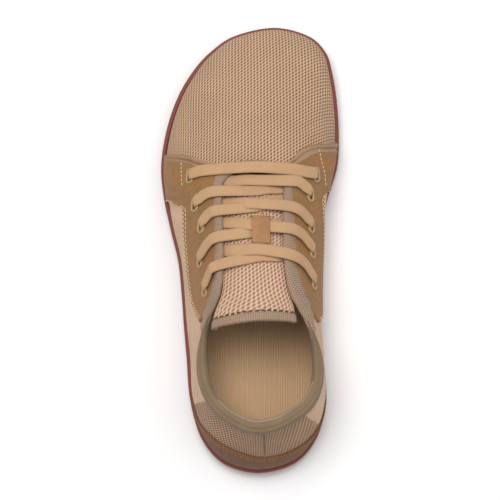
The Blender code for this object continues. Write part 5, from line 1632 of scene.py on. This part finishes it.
class SHOE_OT_stitching(bpy.types.Operator):
    """Rows of thread along the overlays, the tongue's binding, the keeper and the heel seam"""
    bl_idname = "shoe.stitching"
    bl_label = "Stitching"

    def execute(self, context):
        lift = sizes().overlay_thickness + 0.0002
        pitch = sizes().stitch_pitch
        for side, seams, strips in (("lateral", EYESTAY_LATERAL, EDGE_STRIP_LATERAL),
                                    ("medial", EYESTAY_MEDIAL, EDGE_STRIP_MEDIAL)):
            mirrored = side == "medial"
            rows = [seam_line(seams, 0.3, 7.2, inset, lift, mirrored) for inset in EYESTAY_INSETS]
            rows.append(seam_line(seams, 7.7, 9.0, EYESTAY_INSETS[0], lift, mirrored))
            rows.append(surface_line(WING_STITCHES[side], lift, mirrored))
            stitching_piece(f"thread_eyestay_{side}", rows, "light_thread", pitch, 0.72 * pitch,
                            EYESTAY_THREAD)
            rows = [seam_line(strips, 0.2, 3.7, STRIP_INSET, sizes().strip_thickness, mirrored, inner)
                    for inner in (False, True)]
            stitching_piece(f"thread_strip_{side}", rows, "dark_thread", pitch, 0.8 * pitch, STRIP_THREAD)
        near, far = COUNTER_INSETS
        rows = [seam_line(HEEL_COUNTER, 0.6, 10.4, near, lift - 0.0002, inner=True),
                seam_line(HEEL_COUNTER, 1.0, 10.0, far, lift - 0.0001, inner=True)]
        stitching_piece("thread_counter", rows, "rust_thread", pitch, 0.85 * pitch, HEEL_THREAD)
        rows = [surface_line(HEEL_SEAM_STITCHES, 0.0002)]
        stitching_piece("thread_heel_seam", rows, "dark_thread", 0.0022, 0.0017, HEEL_THREAD)
        level = np.linspace(0.04, 0.96, 120)
        seam_row = np.full(len(level), (TONGUE_TAPE + 0.001) / tongue_pitch())
        rows = [(tongue(seam_row, level, 0.0005), tongue_normals(seam_row, level))]
        stitching_piece("thread_tongue", rows, "dark_thread", 0.0036, 0.0026, TONGUE_THREAD)
        half = KEEPER_STITCHED / (2 * HALF_WIDTH * 0.36)
        level = np.linspace(KEEPER_ACROSS - half, KEEPER_ACROSS + half, 20)
        seam_row = np.full(len(level), tongue_row(KEEPER_SEAM_SECTION))
        rows = [(tongue(seam_row, level, 0.0019), tongue_normals(seam_row, level))]
        stitching_piece("thread_keeper", rows, "light_thread", 0.0018, 0.0015, KEEPER_THREAD)
        return {"FINISHED"}


class SHOE_OT_stage(bpy.types.Operator):
    """Pale floor, soft light and the camera above the shoe"""
    bl_idname = "shoe.stage"
    bl_label = "Stage"

    def execute(self, context):
        bpy.ops.object.select_all(action="DESELECT")
        bpy.ops.mesh.primitive_plane_add(size=FLOOR_SIZE)
        floor = context.active_object
        floor.name = "floor"
        made, tree, shader = surface("matt_white_floor", 0.95)
        spot = object_place(tree)
        colour = mixed(tree, noise(tree, spot, 3.0), rgba(colours().floor, 0.99), rgba(colours().floor))
        tree.links.new(colour, shader.inputs["Base Color"])
        floor.data.materials.append(made)
        world = bpy.data.worlds.new("studio")
        world.use_nodes = True
        world.node_tree.nodes["Background"].inputs["Color"].default_value = (1.0, 1.0, 1.0, 1)
        world.node_tree.nodes["Background"].inputs["Strength"].default_value = SKY_STRENGTH
        context.scene.world = world
        context.scene.view_settings.view_transform = "Standard"
        for name, place, size, power in LIGHTS:
            lamp = bpy.data.lights.new(name, "AREA")
            lamp.size, lamp.energy = size, power
            light = bpy.data.objects.new(name, lamp)
            light.location = place
            light.rotation_euler = (Vector((0, 0, 0)) - Vector(place)).to_track_quat("-Z", "Y").to_euler()
            context.scene.collection.objects.link(light)
        back = Vector((0, -math.sin(CAMERA_TILT), math.cos(CAMERA_TILT)))
        data = bpy.data.cameras.new("camera")
        data.sensor_width = 36.0
        data.lens = data.sensor_width * CAMERA_DISTANCE / PICTURE_WIDTH
        camera = bpy.data.objects.new("camera", data)
        camera.rotation_mode = "QUATERNION"
        camera.location = Vector(CAMERA_TARGET) + CAMERA_DISTANCE * back
        right = Vector((1, 0, 0))
        turned = Matrix((right, back.cross(right), back)).transposed()
        camera.rotation_quaternion = turned.to_quaternion()
        context.scene.collection.objects.link(camera)
        context.scene.camera = camera
        return {"FINISHED"}


class SHOE_PT_pieces(bpy.types.Panel):
    """Lists the steps that build the shoe"""
    bl_idname = "SHOE_PT_pieces"
    bl_label = "Barefoot shoe"
    bl_space_type = "VIEW_3D"
    bl_region_type = "UI"
    bl_category = "Barefoot shoe"

    def draw(self, context):
        for group in (context.scene.shoe_sizes, context.scene.shoe_colours):
            for name in group.bl_rna.properties.keys()[1:]:
                if name != "name":
                    self.layout.prop(group, name)
        for step in STEPS:
            self.layout.operator(step.bl_idname)


STEPS = (SHOE_OT_sole, SHOE_OT_insole, SHOE_OT_upper, SHOE_OT_overlays, SHOE_OT_throat_edging, SHOE_OT_collar,
         SHOE_OT_tongue, SHOE_OT_eyelets, SHOE_OT_laces, SHOE_OT_keeper, SHOE_OT_stitching, SHOE_OT_stage)
CLASSES = (ShoeSizes, ShoeColours, *STEPS, SHOE_PT_pieces)


def register():
    """Register the classes and the settings."""
    for kind in CLASSES:
        bpy.utils.register_class(kind)
    bpy.types.Scene.shoe_sizes = bpy.props.PointerProperty(type=ShoeSizes)
    bpy.types.Scene.shoe_colours = bpy.props.PointerProperty(type=ShoeColours)


def unregister():
    """Remove the classes and the settings."""
    del bpy.types.Scene.shoe_colours
    del bpy.types.Scene.shoe_sizes
    for kind in reversed(CLASSES):
        bpy.utils.unregister_class(kind)


def main():
    """Build every piece."""
    register()
    bpy.ops.shoe.sole()
    bpy.ops.shoe.insole()
    bpy.ops.shoe.upper()
    bpy.ops.shoe.overlays()
    bpy.ops.shoe.throat_edging()
    bpy.ops.shoe.collar()
    bpy.ops.shoe.tongue()
    bpy.ops.shoe.eyelets()
    bpy.ops.shoe.laces()
    bpy.ops.shoe.keeper()
    bpy.ops.shoe.stitching()
    bpy.ops.shoe.stage()


if __name__ == "__main__":
    main()
